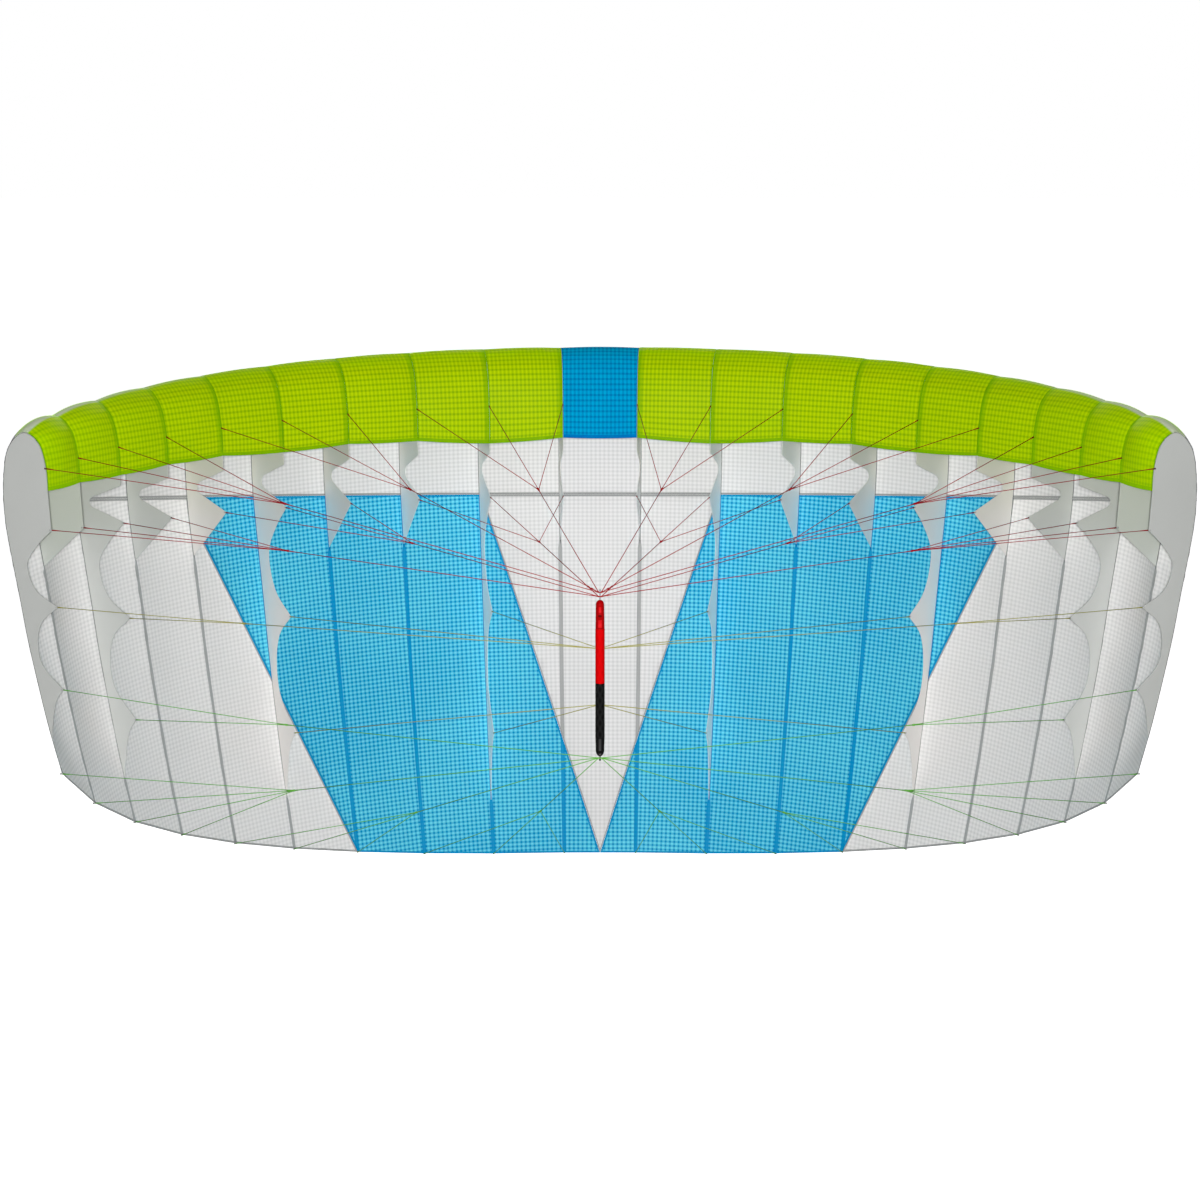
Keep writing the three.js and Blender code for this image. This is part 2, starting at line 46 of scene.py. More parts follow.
MIDDLE_CELL = RIBS_PER_HALF - 1  # cells are counted from the left tip
CELL_TURN = math.radians(7.4)
CENTRE_CELL_WIDTH = 0.214
CELL_NARROWING = 0.34
ROOT_CHORD = 1.5
CHORD_LOSS = 0.385
TIP_CUT = 0.018
TIP_CUT_POWER = 10
LEADING_EDGE_Z = 0.589
TIP_SWEEP = 0.1
LINE_DEPTH = 1.5
AFT = Vector((0, 0, -1))
FORE = -AFT

# Rib profile from the lower lip round the nose to the trailing edge.
# aft and up are shares of the chord, crown is the share of the full crown that the skin takes there.
Row = namedtuple("Row", "aft up crown")
PROFILE = [
    Row(0.16, 0.004, 0.15),
    Row(0.096, 0.007, 0.2),
    Row(0.029, 0.025, 0.25),
    Row(0.0005, 0.053, 0.25),
    Row(-0.0065, 0.078, 0.25),
    Row(0.01, 0.107, 0.4),
    Row(0.048, 0.135, 0.7),
    Row(0.108, 0.149, 1.0),
    Row(0.195, 0.155, 1.0),
    Row(0.28, 0.15, 1.0),
    Row(0.386, 0.133, 1.0),
    Row(0.49, 0.115, 0.9),
    Row(0.6, 0.097, 0.8),
    Row(0.74, 0.068, 0.6),
    Row(0.87, 0.038, 0.45),
    Row(1.0, 0.002, 0.0),
]
NOSE_TIP_ROW = 4
NOSE_SEAM_ROW = 5
FULL_CROWN_ROW = 7
SHORT_RIB_ROW = 10
LONG_RIB_ROW = 14.2
LAST_ROW = len(PROFILE) - 1
CELL_CROWN = 0.05
TIP_CROWN_GAIN = 2.2
TIP_CROWN_POWER = 6
TIP_NOSE_CROWN = 0.75  # least crown of a tip cell's nose, from this row on
TIP_NOSE_ROW = 2

# Lower edge of a rib from behind the lip, as shares of the chord.
# The two ribs nearest each tip are cut straight between these ends.
RIB_FRONT_EDGE = [
    (0.186, 0.005),
    (0.221, 0.098),
    (0.228, 0.108),
    (0.239, 0.11),
    (0.246, 0.102),
    (0.2725, 0.0),
    (0.2755, 0.0),
]
SCALLOPS = [
    [(0.2755, 0.0), (0.32, 0.047), (0.38, 0.085), (0.455, 0.06), (0.4985, -0.008)],
    [(0.5015, -0.008), (0.548, 0.045), (0.606, 0.062), (0.675, 0.05), (0.7435, -0.015)],
]
TAIL = [(0.7465, -0.015), (0.77, 0.0034), (0.8, 0.0148), (0.84, 0.022), (0.875, 0.0272)]
LAST_NOTCHED_RIB = 8
LONG_RIBS = (2, 5, 8, 10)

# Cloth
SKIN_THICKNESS = 0.0012
SEAM_THICKNESS = 0.002  # where seam allowances lie under the skin
RIB_THICKNESS = 0.0012
BELOW, BOTH_SIDES = -1, 0  # where a sheet's thickness lies
GAP = 0.0003
NEAR = 1e-5  # what counts as the same place
TINY = 1e-6
SEAM_CLEARANCE = 0.004  # in rows, on each side of the nose seam
NOSE_SIDE_CLEARANCE = 0.0002
SEAM_HALF = 0.0055  # half the width of a seam's band
RIB_SEAM_HALF = 0.0022  # and where a rib hangs from the seam
LAPPED_HALF = 0.003  # and on the lapped side of a slanting colour seam
LAP = 0.009  # seam allowance that shows through the nose cloth, fading to twice this
LIP_SAG = 0.002  # how far the lip is cut lower between ribs
# How far forward the lip is cut at each rib from the middle, in rows of the profile
LIP_FORWARD = (0.0, -0.135, 0.03, 0.07, -0.02, 0.09, 0.055, -0.02, 0.03, 0.0)
STEP = 0.0008  # run of a band's edge down to the single cloth
HEM = 0.01  # at the lip
TRAILING_HEM = 0.0055
PUCKER = 0.0012  # depth of the small gathers beside a seam
PUCKER_REACH = 0.022
Wave = namedtuple("Wave", "share pitch shift")  # shift is from cell to cell
PUCKER_WAVES = [Wave(1.0, 0.034, 2.1), Wave(0.6, 0.0578, 1.3)]

# Seams of the top skin's colour fields: the cross seam by a point and its normal,
# the slanting seams of the right half by their fore and aft ends, height and lean
CROSS_SEAM_POINT = Vector((0, 1.691, 0.1495))
CROSS_SEAM_NORMAL = Vector((0, 0.152, 1)).normalized()
Seam = namedtuple("Seam", "fore_x fore_z aft_x aft_z y lean")
WEDGE_SEAM = Seam(0.354, 0.14, 0.0, -0.911, 1.691, 0.0)
OUTER_SEAM = Seam(1.195, 0.212, 0.707, -0.856, 1.31, 0.23)
LAST_BLUE_RIB = 6  # no blue reaches past this rib


# Wing form
class Rib:
    """One profile rib: its place on the arc and the directions of its own plane."""

    def __init__(self, side, number, across, drop):
        reach = (number - 1) / (RIBS_PER_HALF - 1)
        tilt = side * (number - 0.5) * CELL_TURN
        self.side = side
        self.number = number
        self.name = f"{'L' if side < 0 else 'R'}{number}"
        self.base = Vector((side * across, LINE_DEPTH - drop, LEADING_EDGE_Z - TIP_SWEEP * reach**2))
        self.up = Vector((math.sin(tilt), math.cos(tilt), 0))
        self.chord = ROOT_CHORD * (1 - CHORD_LOSS * reach**2 - TIP_CUT * reach**TIP_CUT_POWER)

    def place(self, point):
        """A point (aft, up) of the rib's plane, in shares of the chord, in the row frame."""
        return self.base + (AFT * point[0] + self.up * point[1]) * self.chord


def make_ribs():
    """The ribs from the left tip to the right one."""
    across, drop = CENTRE_CELL_WIDTH / 2, 0.0
    places = []
    for number in range(1, RIBS_PER_HALF + 1):
        places.append((number, across, drop))
        reach = number / (RIBS_PER_HALF - 1)
        width = CENTRE_CELL_WIDTH * (1 - CELL_NARROWING * reach**2)
        across += width * math.cos(number * CELL_TURN)
        drop += width * math.sin(number * CELL_TURN)
    return [Rib(-1, *place) for place in reversed(places)] + [Rib(1, *place) for place in places]


RIBS = make_ribs()
Section = namedtuple("Section", "point outward crown")


def smooth_curve(points, at):
    """Point and direction of the centripetal curve through the points, at a row with a fraction."""
    first = min(int(at), len(points) - 2)
    t = at - first
    b, c = points[first], points[first + 1]
    a = points[first - 1] if first else 2 * b - c
    d = points[first + 2] if first + 2 < len(points) else 2 * c - b
    ab, bc, cd = (math.sqrt((end - start).length) for start, end in ((a, b), (b, c), (c, d)))
    leave = ((b - a) / ab - (c - a) / (ab + bc) + (c - b) / bc) * bc
    arrive = ((c - b) / bc - (d - b) / (bc + cd) + (d - c) / cd) * bc
    bend = 2 * (b - c) + leave + arrive
    sway = 3 * (c - b) - 2 * leave - arrive
    point = b + leave * t + sway * t**2 + bend * t**3
    return point, leave + 2 * sway * t + 3 * bend * t**2


PROFILE_POINTS = [Vector((row.aft, row.up)) for row in PROFILE]


def section(row):
    """The profile at a row: its point, the direction out of the skin and the crown."""
    point, along = smooth_curve(PROFILE_POINTS, row)
    first = min(int(row), LAST_ROW - 1)
    share = row - first
    crown = PROFILE[first].crown * (1 - share) + PROFILE[first + 1].crown * share
    return Section(point, Vector((-along.y, along.x)).normalized(), crown)


def pucker(distance, along, cell):
    """Depth of the gathers beside a seam."""
    fade = math.exp(-distance / PUCKER_REACH) * min(1.0, distance / SEAM_HALF)
    waves = [
        wave.share * math.sin(math.tau * along / wave.pitch + wave.shift * cell)
        for wave in PUCKER_WAVES
    ]
    return PUCKER * fade * sum(waves)


def tip_crown(row, crown):
    """Crown that a tip cell takes more of: its nose stands as full as its skin."""
    if row > FULL_CROWN_ROW:
        return crown
    return max(crown, TIP_NOSE_CROWN * min(1.0, max(0.0, row) / TIP_NOSE_ROW))


def skin_point(cell, share, row, along):
    """A point of the skin between two ribs, this share across the cell, and how far it lies from a seam."""
    here = section(row)
    left, right = RIBS[cell], RIBS[cell + 1]
    start, end = left.place(here.point), right.place(here.point)
    width = (end - start).length
    outward = (left.up + right.up).normalized() * here.outward.y + AFT * here.outward.x
    reach = abs(cell - MIDDLE_CELL) / MIDDLE_CELL
    tip_gain = TIP_CROWN_GAIN * reach**TIP_CROWN_POWER
    fullness = CELL_CROWN * (here.crown + tip_crown(row, here.crown) * tip_gain)
    distance = min(share, 1 - share) * width
    rise = fullness * width * 4 * share * (1 - share) + pucker(distance, along, cell)
    return start.lerp(end, share) + outward * rise, width, distance


def even(start, stop, count):
    """Evenly spaced values from start to stop, both ends included."""
    return [start + (stop - start) * step / count for step in range(count + 1)]


def lengths_along(rows):
    """How far each row lies along the profile from the first one, in shares of the chord."""
    total, found = 0.0, [0.0]
    for before, after in zip(rows, rows[1:]):
        total += (section(after).point - section(before).point).length
        found.append(total)
    return found


def cell_width(cell):
    return (RIBS[cell + 1].base - RIBS[cell].base).length


def chord_at(cell, share):
    return RIBS[cell].chord * (1 - share) + RIBS[cell + 1].chord * share


# Place of each cell's middle along the arc
CELL_MIDDLES = [
    sum(cell_width(other) for other in range(cell)) + cell_width(cell) / 2 for cell in range(CELLS)
]


# Cloth sheets
def bent_sheet(columns, rows, bend, marks=()):
    """A flat grid of cloth bent into its form.

    bend gives a vertex its point, its place in the weave, its way from an edge and its marks.
    """
    bm = bmesh.new()
    weave = bm.verts.layers.float_vector.new("weave")
    layers = [bm.verts.layers.float.new(name) for name in ("edge", *marks)]
    bmesh.ops.create_grid(bm, x_segments=len(columns) - 1, y_segments=len(rows) - 1, size=0.5)
    for vert in bm.verts:
        column = round((vert.co.x + 0.5) * (len(columns) - 1))
        row = round((vert.co.y + 0.5) * (len(rows) - 1))
        vert.co, vert[weave], *values = bend(columns[column], rows[row])
        for layer, value in zip(layers, values):
            vert[layer] = value
    return bm


def new_object(name, bm, materials):
    """Makes an object of this mesh, at the origin."""
    mesh = bpy.data.meshes.new(name)
    bm.to_mesh(mesh)
    bm.free()
    for material in materials:
        mesh.materials.append(material)
    made = bpy.data.objects.new(name, mesh)
    bpy.context.scene.collection.objects.link(made)
    return made


def add_piece(name, bm, materials, nodes=()):
    """Makes the piece, which rides on the wing and stands for these nodes. Only cloth casts shadows."""
    for edge in bm.edges:
        if edge.is_boundary:
            edge.smooth = False
    piece = new_object(name, bm, materials)
    piece.data.shade_smooth()
    piece.visible_shadow = False
    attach(piece, "root")
    if nodes:
        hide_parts(*nodes)
    return piece


def flat_size(bm):
    """Width, length and area of the cloth as it is cut, from its places in the weave."""
    weave = bm.verts.layers.float_vector["weave"]
    across = [vert[weave].x for vert in bm.verts]
    along = [vert[weave].y for vert in bm.verts]
    area = 0.0
    for face in bm.faces:
        corners = [vert[weave] for vert in face.verts]
        pairs = zip(corners, corners[1:] + corners[:1])
        area += abs(sum(a.x * b.y - b.x * a.y for a, b in pairs)) / 2
    return max(across) - min(across), max(along) - min(along), area


def add_sheet(name, bm, finish, node, thickness, offset):
    """Makes a piece of cloth, thicker where its layers weight says so; it measures its cut but does nothing
    with the sizes.
    """
    width, length, area = flat_size(bm)
    is_layered = bm.verts.layers.deform.active is not None
    piece = add_piece(name, bm, [finish], [node])
    piece.visible_shadow = True
    solidify = piece.modifiers.new("thickness", "SOLIDIFY")
    solidify.offset = offset
    solidify.thickness = thickness
    if is_layered:
        group = piece.vertex_groups.new(name="layers")
        solidify.vertex_group = group.name
        solidify.thickness = SEAM_THICKNESS
        solidify.thickness_vertex_group = thickness / SEAM_THICKNESS
    return piece


def set_layers(bm, is_layered):
    """Weights the vertices where more than one layer of cloth lies."""
    deform = bm.verts.layers.deform.verify()
    for vert in bm.verts:
        vert[deform][0] = 1.0 if is_layered(vert) else 0.0


# Shader values
class Shade:
    """One socket of a material's nodes. Arithmetic on it adds Math nodes."""

    def __init__(self, tree, socket=None):
        self.tree = tree
        self.socket = socket

    def node(self, kind, settings=(), sockets=(), output=0):
        """Adds a node: its settings first, then the values or links of its sockets."""
        made = self.tree.nodes.new(kind)
        for name, value in dict(settings).items():
            setattr(made, name, value)
        for name, value in dict(sockets).items():
            if isinstance(value, Shade):
                self.tree.links.new(value.socket, made.inputs[name])
            else:
                made.inputs[name].default_value = value
        return Shade(self.tree, made.outputs[output]) if made.outputs else made

    def math(self, operation, *values):
        return self.node("ShaderNodeMath", {"operation": operation}, enumerate(values))

    def __add__(self, other):
        return self.math("ADD", self, other)

    __radd__ = __add__

    def __sub__(self, other):
        return self.math("SUBTRACT", self, other)

    def __rsub__(self, other):
        return self.math("SUBTRACT", other, self)

    def __mul__(self, other):
        return self.math("MULTIPLY", self, other)

    __rmul__ = __mul__

    def __truediv__(self, other):
        return self.math("DIVIDE", self, other)

    def attribute(self, name):
        """A number that each vertex of the piece holds under this name."""
        return self.node("ShaderNodeAttribute", {"attribute_name": name}, output=2)

    def weave(self):
        """The vector that each vertex holds as its place in the weave."""
        return self.node("ShaderNodeAttribute", {"attribute_name": "weave"}, output=1)

    def place(self):
        """The point on the piece, in metres."""
        return self.node("ShaderNodeTexCoord", output=3)

    def bump(self, strength, distance):
        """The normal of a surface with this height."""
        sockets = {"Strength": strength, "Distance": distance, "Height": self}
        return self.node("ShaderNodeBump", (), sockets)

    def most(self, other):
        return self.math("MAXIMUM", self, other)

    def part(self, axis):
        """One of a vector's three numbers."""
        return self.node("ShaderNodeSeparateXYZ", (), {0: self}, output=axis)

    def fade(self, start, stop):
        """0 up to start, 1 from stop on, smooth between them."""
        settings = {"interpolation_type": "SMOOTHSTEP"}
        return self.node("ShaderNodeMapRange", settings, {0: self, 1: start, 2: stop})

    def near_line(self, pitch, width):
        """1 on evenly spaced lines, 0 away from them."""
        return 1 - self.math("PINGPONG", self, pitch / 2).fade(0.25 * width, width)

    def noise(self, scale, detail=2.0):
        sockets = {"Vector": self, "Scale": scale, "Detail": detail}
        return self.node("ShaderNodeTexNoise", (), sockets)

    def tint(self, first, second):
        """The first colour where this is 0 and the second where it is 1."""
        settings = {"data_type": "RGBA"}
        return self.node("ShaderNodeMix", settings, {0: self, 6: first, 7: second}, output=2)


def new_material(name):
    """An empty material and a Shade to add its nodes with."""
    material = bpy.data.materials.new(name)
    material.use_nodes = True
    material.node_tree.nodes.clear()
    return material, Shade(material.node_tree)


def finish_material(shade, **sockets):
    """Ends a material in a Principled shader with these sockets."""
    named = {name.replace("_", " "): value for name, value in sockets.items()}
    surface = shade.node("ShaderNodeBsdfPrincipled", (), named)
    shade.node("ShaderNodeOutputMaterial", (), {"Surface": surface})


def colour(red, green, blue):
    """A screen colour of 0 to 255 as the linear one that shaders take."""
    def linear(value):
        value /= 255
        return value / 12.92 if value <= 0.04045 else ((value + 0.055) / 1.055) ** 2.4

    return linear(red), linear(green), linear(blue), 1.0


# Finishes of the cloth
PURE_WHITE = (1.0, 1.0, 1.0, 1.0)
CLOTH_PARTS = "base line seam band stitch crease pitch_across pitch_along shine sheen sheen_tint glow rim"
Cloth = namedtuple("Cloth", CLOTH_PARTS, defaults=[PURE_WHITE] * 3)
RIPSTOP_LINE = 0.0048
STITCH_PITCH = 0.0045
STITCH_WIDTH = 0.0007
STITCH_PLACE = 0.6  # of the half band, from the seam
STITCH_END = (0.0004, 0.0009)  # half the gap between two stitches, and where they are full
SKIN_GLOW = 0.0025  # how far light spreads in the thin cloth of the skin
RIB_GLOW = 0.0008  # and of the ribs
LINE_SHARE = 0.48  # darkness of a ripstop line, where a crossing has 1
CLOUD_SCALE = 3.0
SKIN_ROUGHNESS = 0.45
SHEEN_ROUGHNESS = 0.3
# Strength and depth of each finish's relief, and the heights that make up the skin's
SKIN_BUMP = (0.35, 0.0006)
RIB_BUMP = (0.2, 0.0003)
BRAID_BUMP = (0.5, 0.0003)
TAPE_BUMP = (0.5, 0.0002)
GRAIN_BUMP = (0.4, 0.0002)
LINE_HEIGHT = 0.5
STITCH_HEIGHT = 1.2
BAND_HEIGHT = 0.4
# How far each of these covers the colour below it
CLOUD_COVER = 0.12
BAND_COVER = 0.9
LAP_COVER = 0.55
SEAM_SHADE_COVER = 0.85
PAINTED_GLOW_COVER = 0.28
RIM_COVER = 0.8
STITCH_COVER = 0.35


def cloth_sockets(roughness, sheen, sheen_tint, glow_depth):
    """What all the cloth has in common: light shines through it and it is paler at a grazing look."""
    return {
        "Roughness": roughness,
        "Subsurface_Weight": 1.0,
        "Subsurface_Scale": glow_depth,
        "Subsurface_Radius": (1.0, 1.0, 1.0),
        "Sheen_Weight": sheen,
        "Sheen_Roughness": SHEEN_ROUGHNESS,
        "Sheen_Tint": sheen_tint,
    }


def ripstop(name, cloth, band_half):
    """Coated cloth with a woven grid, darker in its seam bands, with a row of stitches along them."""
    material, shade = new_material(name)
    weave = shade.weave()
    edge, lap, crease, glow, rim = map(shade.attribute, ("edge", "lap", "crease", "glow", "rim"))
    across, along, seam = weave.part(0), weave.part(1), weave.part(2)
    lines = across.near_line(cloth.pitch_across, RIPSTOP_LINE)
    cross_lines = along.near_line(cloth.pitch_along, RIPSTOP_LINE)
    either = lines.most(cross_lines)
    seam_band = 1 - seam.fade(band_half, band_half + STEP)
    hem_band = 1 - edge.fade(HEM, HEM + STEP)
    band = seam_band.most(hem_band)
    cloudy = shade.place().noise(CLOUD_SCALE).fade(0.3, 0.7)
    grid = either * LINE_SHARE + lines * cross_lines * (1 - LINE_SHARE)
    paint = (grid + cloudy * CLOUD_COVER).tint(cloth.base, cloth.line)
    paint = (seam_band * BAND_COVER).most(lap * LAP_COVER).tint(paint, cloth.seam)
    paint = (hem_band * BAND_COVER).tint(paint, cloth.band)
    # painted shade: a dark line where a rib meets the skin
    paint = (crease.fade(0.35, 0.95) * SEAM_SHADE_COVER).tint(paint, cloth.crease)
    # painted light: the nose is painted greener where light would shine through it
    paint = (glow * PAINTED_GLOW_COVER).tint(paint, cloth.glow)
    paint = (rim.fade(0.05, 0.5) * RIM_COVER).tint(paint, cloth.rim)
    off_row = seam.math("ABSOLUTE", seam - STITCH_PLACE * band_half).fade(STITCH_WIDTH / 2, STITCH_WIDTH)
    stitch = (1 - off_row) * along.math("PINGPONG", along, STITCH_PITCH / 2).fade(*STITCH_END)
    height = either * LINE_HEIGHT + stitch * STITCH_HEIGHT + band * BAND_HEIGHT
    roughness = SKIN_ROUGHNESS + cloudy * 0.08 - band * 0.05
    finish_material(
        shade,
        Base_Color=(stitch * STITCH_COVER).tint(paint, cloth.stitch),
        Specular_IOR_Level=cloth.shine,
        Normal=height.bump(*SKIN_BUMP),
        **cloth_sockets(roughness, cloth.sheen, cloth.sheen_tint, SKIN_GLOW),
    )
    return material


GREEN = Cloth(
    base=colour(194, 215, 0),
    line=colour(136, 178, 0),
    seam=colour(112, 168, 0),
    band=colour(126, 177, 0),
    stitch=colour(90, 150, 0),
    crease=colour(90, 150, 0),
    pitch_across=0.0116,
    pitch_along=0.0155,
    shine=0.02,
    sheen=0.5,
    sheen_tint=colour(190, 255, 30),
    glow=colour(178, 255, 0),
    rim=colour(222, 228, 214),
)
DEEP_BLUE = Cloth(
    base=colour(0, 174, 216),
    line=colour(0, 122, 180),
    seam=colour(0, 118, 188),
    band=colour(0, 118, 188),
    stitch=colour(0, 100, 170),
    crease=colour(0, 100, 170),
    pitch_across=0.0117,
    pitch_along=0.0155,
    shine=0.0,
    sheen=0.05,
)
WHITE = Cloth(
    base=colour(229, 228, 228),
    line=colour(206, 206, 206),
    seam=colour(166, 167, 167),
    band=colour(152, 154, 153),
    stitch=colour(140, 142, 141),
    crease=colour(92, 97, 96),
    pitch_across=0.0131,
    pitch_along=0.0122,
    shine=0.1,
    sheen=0.1,
)
BLUE = Cloth(
    base=colour(117, 220, 237),
    line=colour(0, 144, 196),
    seam=colour(0, 149, 202),
    band=colour(0, 146, 198),
    stitch=colour(0, 112, 180),
    crease=colour(0, 92, 160),
    pitch_across=0.0131,
    pitch_along=0.0122,
    shine=0.02,
    sheen=0.0,
)
NOSE_BAND = 0.0022  # half the width of the nose's seam bands
OUTER_SEAM_HALF = 0.0044  # and of the outer fields'
OUTER_WHITE = WHITE._replace(
    base=colour(238, 237, 236),
    line=colour(215, 215, 214),
    seam=colour(160, 163, 164),
)

# Finish of the ribs: the same cloth in tones of painted light and shade
PaintedRibLight = namedtuple("PaintedRibLight", "last_rib pale tinge")
PAINTED_RIB_LIGHT = [
    PaintedRibLight(3, (250, 249, 248), 0.5),
    PaintedRibLight(6, (231, 228, 225), 0.6),
    PaintedRibLight(8, (206, 208, 205), 0.25),
    PaintedRibLight(9, (204, 207, 203), 0.35),
    PaintedRibLight(10, (199, 201, 198), 0.0),
]  # painted shade: the same cloth is painted greyer towards the tips, and paler on the inner ribs as painted light
RIB_MOTTLE = 0.97  # darkest share of the pale tone
RIB_MOTTLE_SCALE = 4.0
RIB_TAPE = (0.003, 0.0036)  # width of the tape along the lower edge, and where it has ended
RIB_THREAD = (0.0016, 0.0008)  # pitch and width
RIB_ROUGHNESS = 0.55
RIB_SHEEN = 0.1
TAPE_COVER = 0.15
PAINTED_GREEN_REACH = (0.2, 0.46)  # painted green light, from behind the nose's tip
PLAIN_SHINE = 0.1
RIB_PAINTED_GREEN = (0.96, 0.99, 0.87)  # share of the pale tone that is left beside the green nose, under painted green light


def rib_cloth(tone):
    """Plain pale cloth with a light tape along its lower edge, in its ribs' painted tone of light and shade,
    with painted green light beside the nose.
    """
    name = f"rib_cloth_painted_light_to_{tone.last_rib}"
    pale = colour(*tone.pale)
    dark = colour(*(RIB_MOTTLE * part for part in tone.pale))
    green_lit = colour(*(share * part for share, part in zip(RIB_PAINTED_GREEN, tone.pale)))
    material, shade = new_material(name)
    weave = shade.weave()
    aft, up = weave.part(0), weave.part(1)
    tape = 1 - shade.attribute("edge").fade(*RIB_TAPE)
    threads = aft.near_line(*RIB_THREAD) + up.near_line(*RIB_THREAD)
    plain = shade.place().noise(RIB_MOTTLE_SCALE).tint(dark, pale)
    # painted light: green that the glowing nose would throw onto the rib
    near_nose = 1 - aft.fade(*PAINTED_GREEN_REACH)
    paint = (near_nose * tone.tinge).tint(plain, green_lit)
    finish_material(
        shade,
        Base_Color=(tape * TAPE_COVER).tint(paint, pale),
        Specular_IOR_Level=PLAIN_SHINE,
        Normal=(threads + tape).bump(*RIB_BUMP),
        **cloth_sockets(RIB_ROUGHNESS + tape * 0.1, RIB_SHEEN, pale, RIB_GLOW),
    )
    return material


BRAID_STRANDS = 3
BRAID_RISE = 2400  # turns of the strands in radians per metre
BRAID_EDGE = (-0.5, 0.6)
BRAID_ROUGHNESS = 0.75


def cord_finish(name, base, fleck):
    """Braided cord. Its weave holds the cosine and sine of the turn round it, and the length along it."""
    material, shade = new_material(name)
    weave = shade.weave()
    turn = shade.math("ARCTAN2", weave.part(1), weave.part(0))
    round_it, along_it = turn * BRAID_STRANDS, weave.part(2) * BRAID_RISE
    strands = shade.math("SINE", round_it + along_it)
    counter = shade.math("SINE", round_it - along_it)
    braid = (strands * counter).fade(*BRAID_EDGE)
    finish_material(
        shade,
        Base_Color=braid.tint(fleck, base),
        Roughness=BRAID_ROUGHNESS - braid * 0.1,
        Specular_IOR_Level=PLAIN_SHINE,
        Normal=braid.bump(*BRAID_BUMP),
    )
    return material


# Pitch and width of the tape's threads, along the span and along the chord
SPAN_THREAD = (0.001, 0.0006)
CHORD_THREAD = (0.0013, 0.0007)
TAPE_ROUGHNESS = 0.8


def tape_finish(name, base, groove):
    """The tabs' woven tape."""
    material, shade = new_material(name)
    place = shade.place()
    rows = place.part(0).near_line(*SPAN_THREAD) + place.part(2).near_line(*CHORD_THREAD)
    finish_material(
        shade,
        Base_Color=(rows * 0.5).tint(base, groove),
        Roughness=TAPE_ROUGHNESS - rows * 0.05,
        Normal=rows.bump(*TAPE_BUMP),
    )
    return material


WORN_SCALE = 45.0
WORN_SHARE = 0.2  # of the tone, where the rest is painted light on the ridges and painted shade between them
MOULDED_SHINE = 0.02


def moulded(name, low, high, roughness, grain_scale):
    """Foam and moulded pieces: low is the colour between ridges, as painted shade, high the one on them, as
    painted light.
    """
    material, shade = new_material(name)
    painted_ridge_light = shade.attribute("painted_ridge_light")
    place = shade.place()
    grain = place.noise(grain_scale, 3.0)
    worn = place.noise(WORN_SCALE).fade(0.35, 0.75)
    finish_material(
        shade,
        Base_Color=(painted_ridge_light * (1 - WORN_SHARE) + worn * WORN_SHARE).tint(low, high),
        Roughness=roughness + grain * 0.12,
        Specular_IOR_Level=MOULDED_SHINE,
        Normal=grain.bump(*GRAIN_BUMP),
    )
    return material


# Top skin
CELL_STEPS = 7


def cell_shares(cell):
    """Places across a cell: its seam band's edges and even steps between them."""
    band = SEAM_HALF / cell_width(cell)
    step = (SEAM_HALF + STEP) / cell_width(cell)
    return [0.0, band] + even(step, 1 - step, CELL_STEPS) + [1 - band]


SKIN_COLUMNS = [(cell, share) for cell in range(CELLS) for share in cell_shares(cell)]
SKIN_COLUMNS.append((CELLS - 1, 1.0))
FINE_END = 9  # rows are closer together up to here
HEM_ROW = LAST_ROW - 0.06
HEM_START = HEM_ROW - 0.005
SKIN_ROWS = even(NOSE_SEAM_ROW + SEAM_CLEARANCE, FINE_END, 24) + even(FINE_END, HEM_START, 36)[1:]
SKIN_ROWS += even(HEM_ROW, LAST_ROW, 2)


def seam_spare(cell, share, row):
    """How much narrower the seam's half band is here, beside a rib, than past its end."""
    rib = RIBS[cell if share < 0.5 else cell + 1]
    end = LONG_RIB_ROW if rib.number in LONG_RIBS else SHORT_RIB_ROW
    return SEAM_HALF - RIB_SEAM_HALF if row < end else 0.0


def top_skin():
    """The whole top skin, from the nose seam to the trailing edge."""
    ways = dict(zip(SKIN_ROWS, lengths_along(SKIN_ROWS)))

    def bend(column, row):
        cell, share = column
        chord = chord_at(cell, share)
        along = ways[row] * chord
        point, width, distance = skin_point(cell, share, row, along)
        across = CELL_MIDDLES[cell] + (share - 0.5) * width
        spare = seam_spare(cell, share, row)
        weave = Vector((across, along, distance + spare))
        # the seam band beside a rib is marked for painted shade
        is_over_rib = spare > 0 and distance + spare < SEAM_HALF - TINY
        return point, weave, ways[LAST_ROW] * chord - along, 1.0 if is_over_rib else 0.0

    return bent_sheet(SKIN_COLUMNS, SKIN_ROWS, bend, ["crease"])


Plane = namedtuple("Plane", "point normal")
Cut = namedtuple("Cut", "planes half")  # a field ends where it has passed all these, with this half band


def way_in(cut, point):
    """How far a point lies inside a cut, below 0 beyond it."""
    return max((plane.point - point).dot(plane.normal) for plane in cut.planes)


def both_ways(point, normal):
    return Plane(point, normal), Plane(point, -normal)


def rib_planes(number, side):
    """The plane of a rib, facing outboard and inboard."""
    rib = next(rib for rib in RIBS if rib.side == side and rib.number == number)
    return both_ways(rib.base, side * AFT.cross(rib.up))


def seam_planes(seam, side):
    """The plane of a colour seam in one half of the wing, facing outboard and inboard."""
    point = Vector((side * seam.aft_x, seam.y, seam.aft_z))
    run = Vector((side * (seam.fore_x - seam.aft_x), 0, seam.fore_z - seam.aft_z))
    rise = Vector((side * seam.lean, 1, 0))
    return both_ways(point, side * rise.cross(run).normalized())


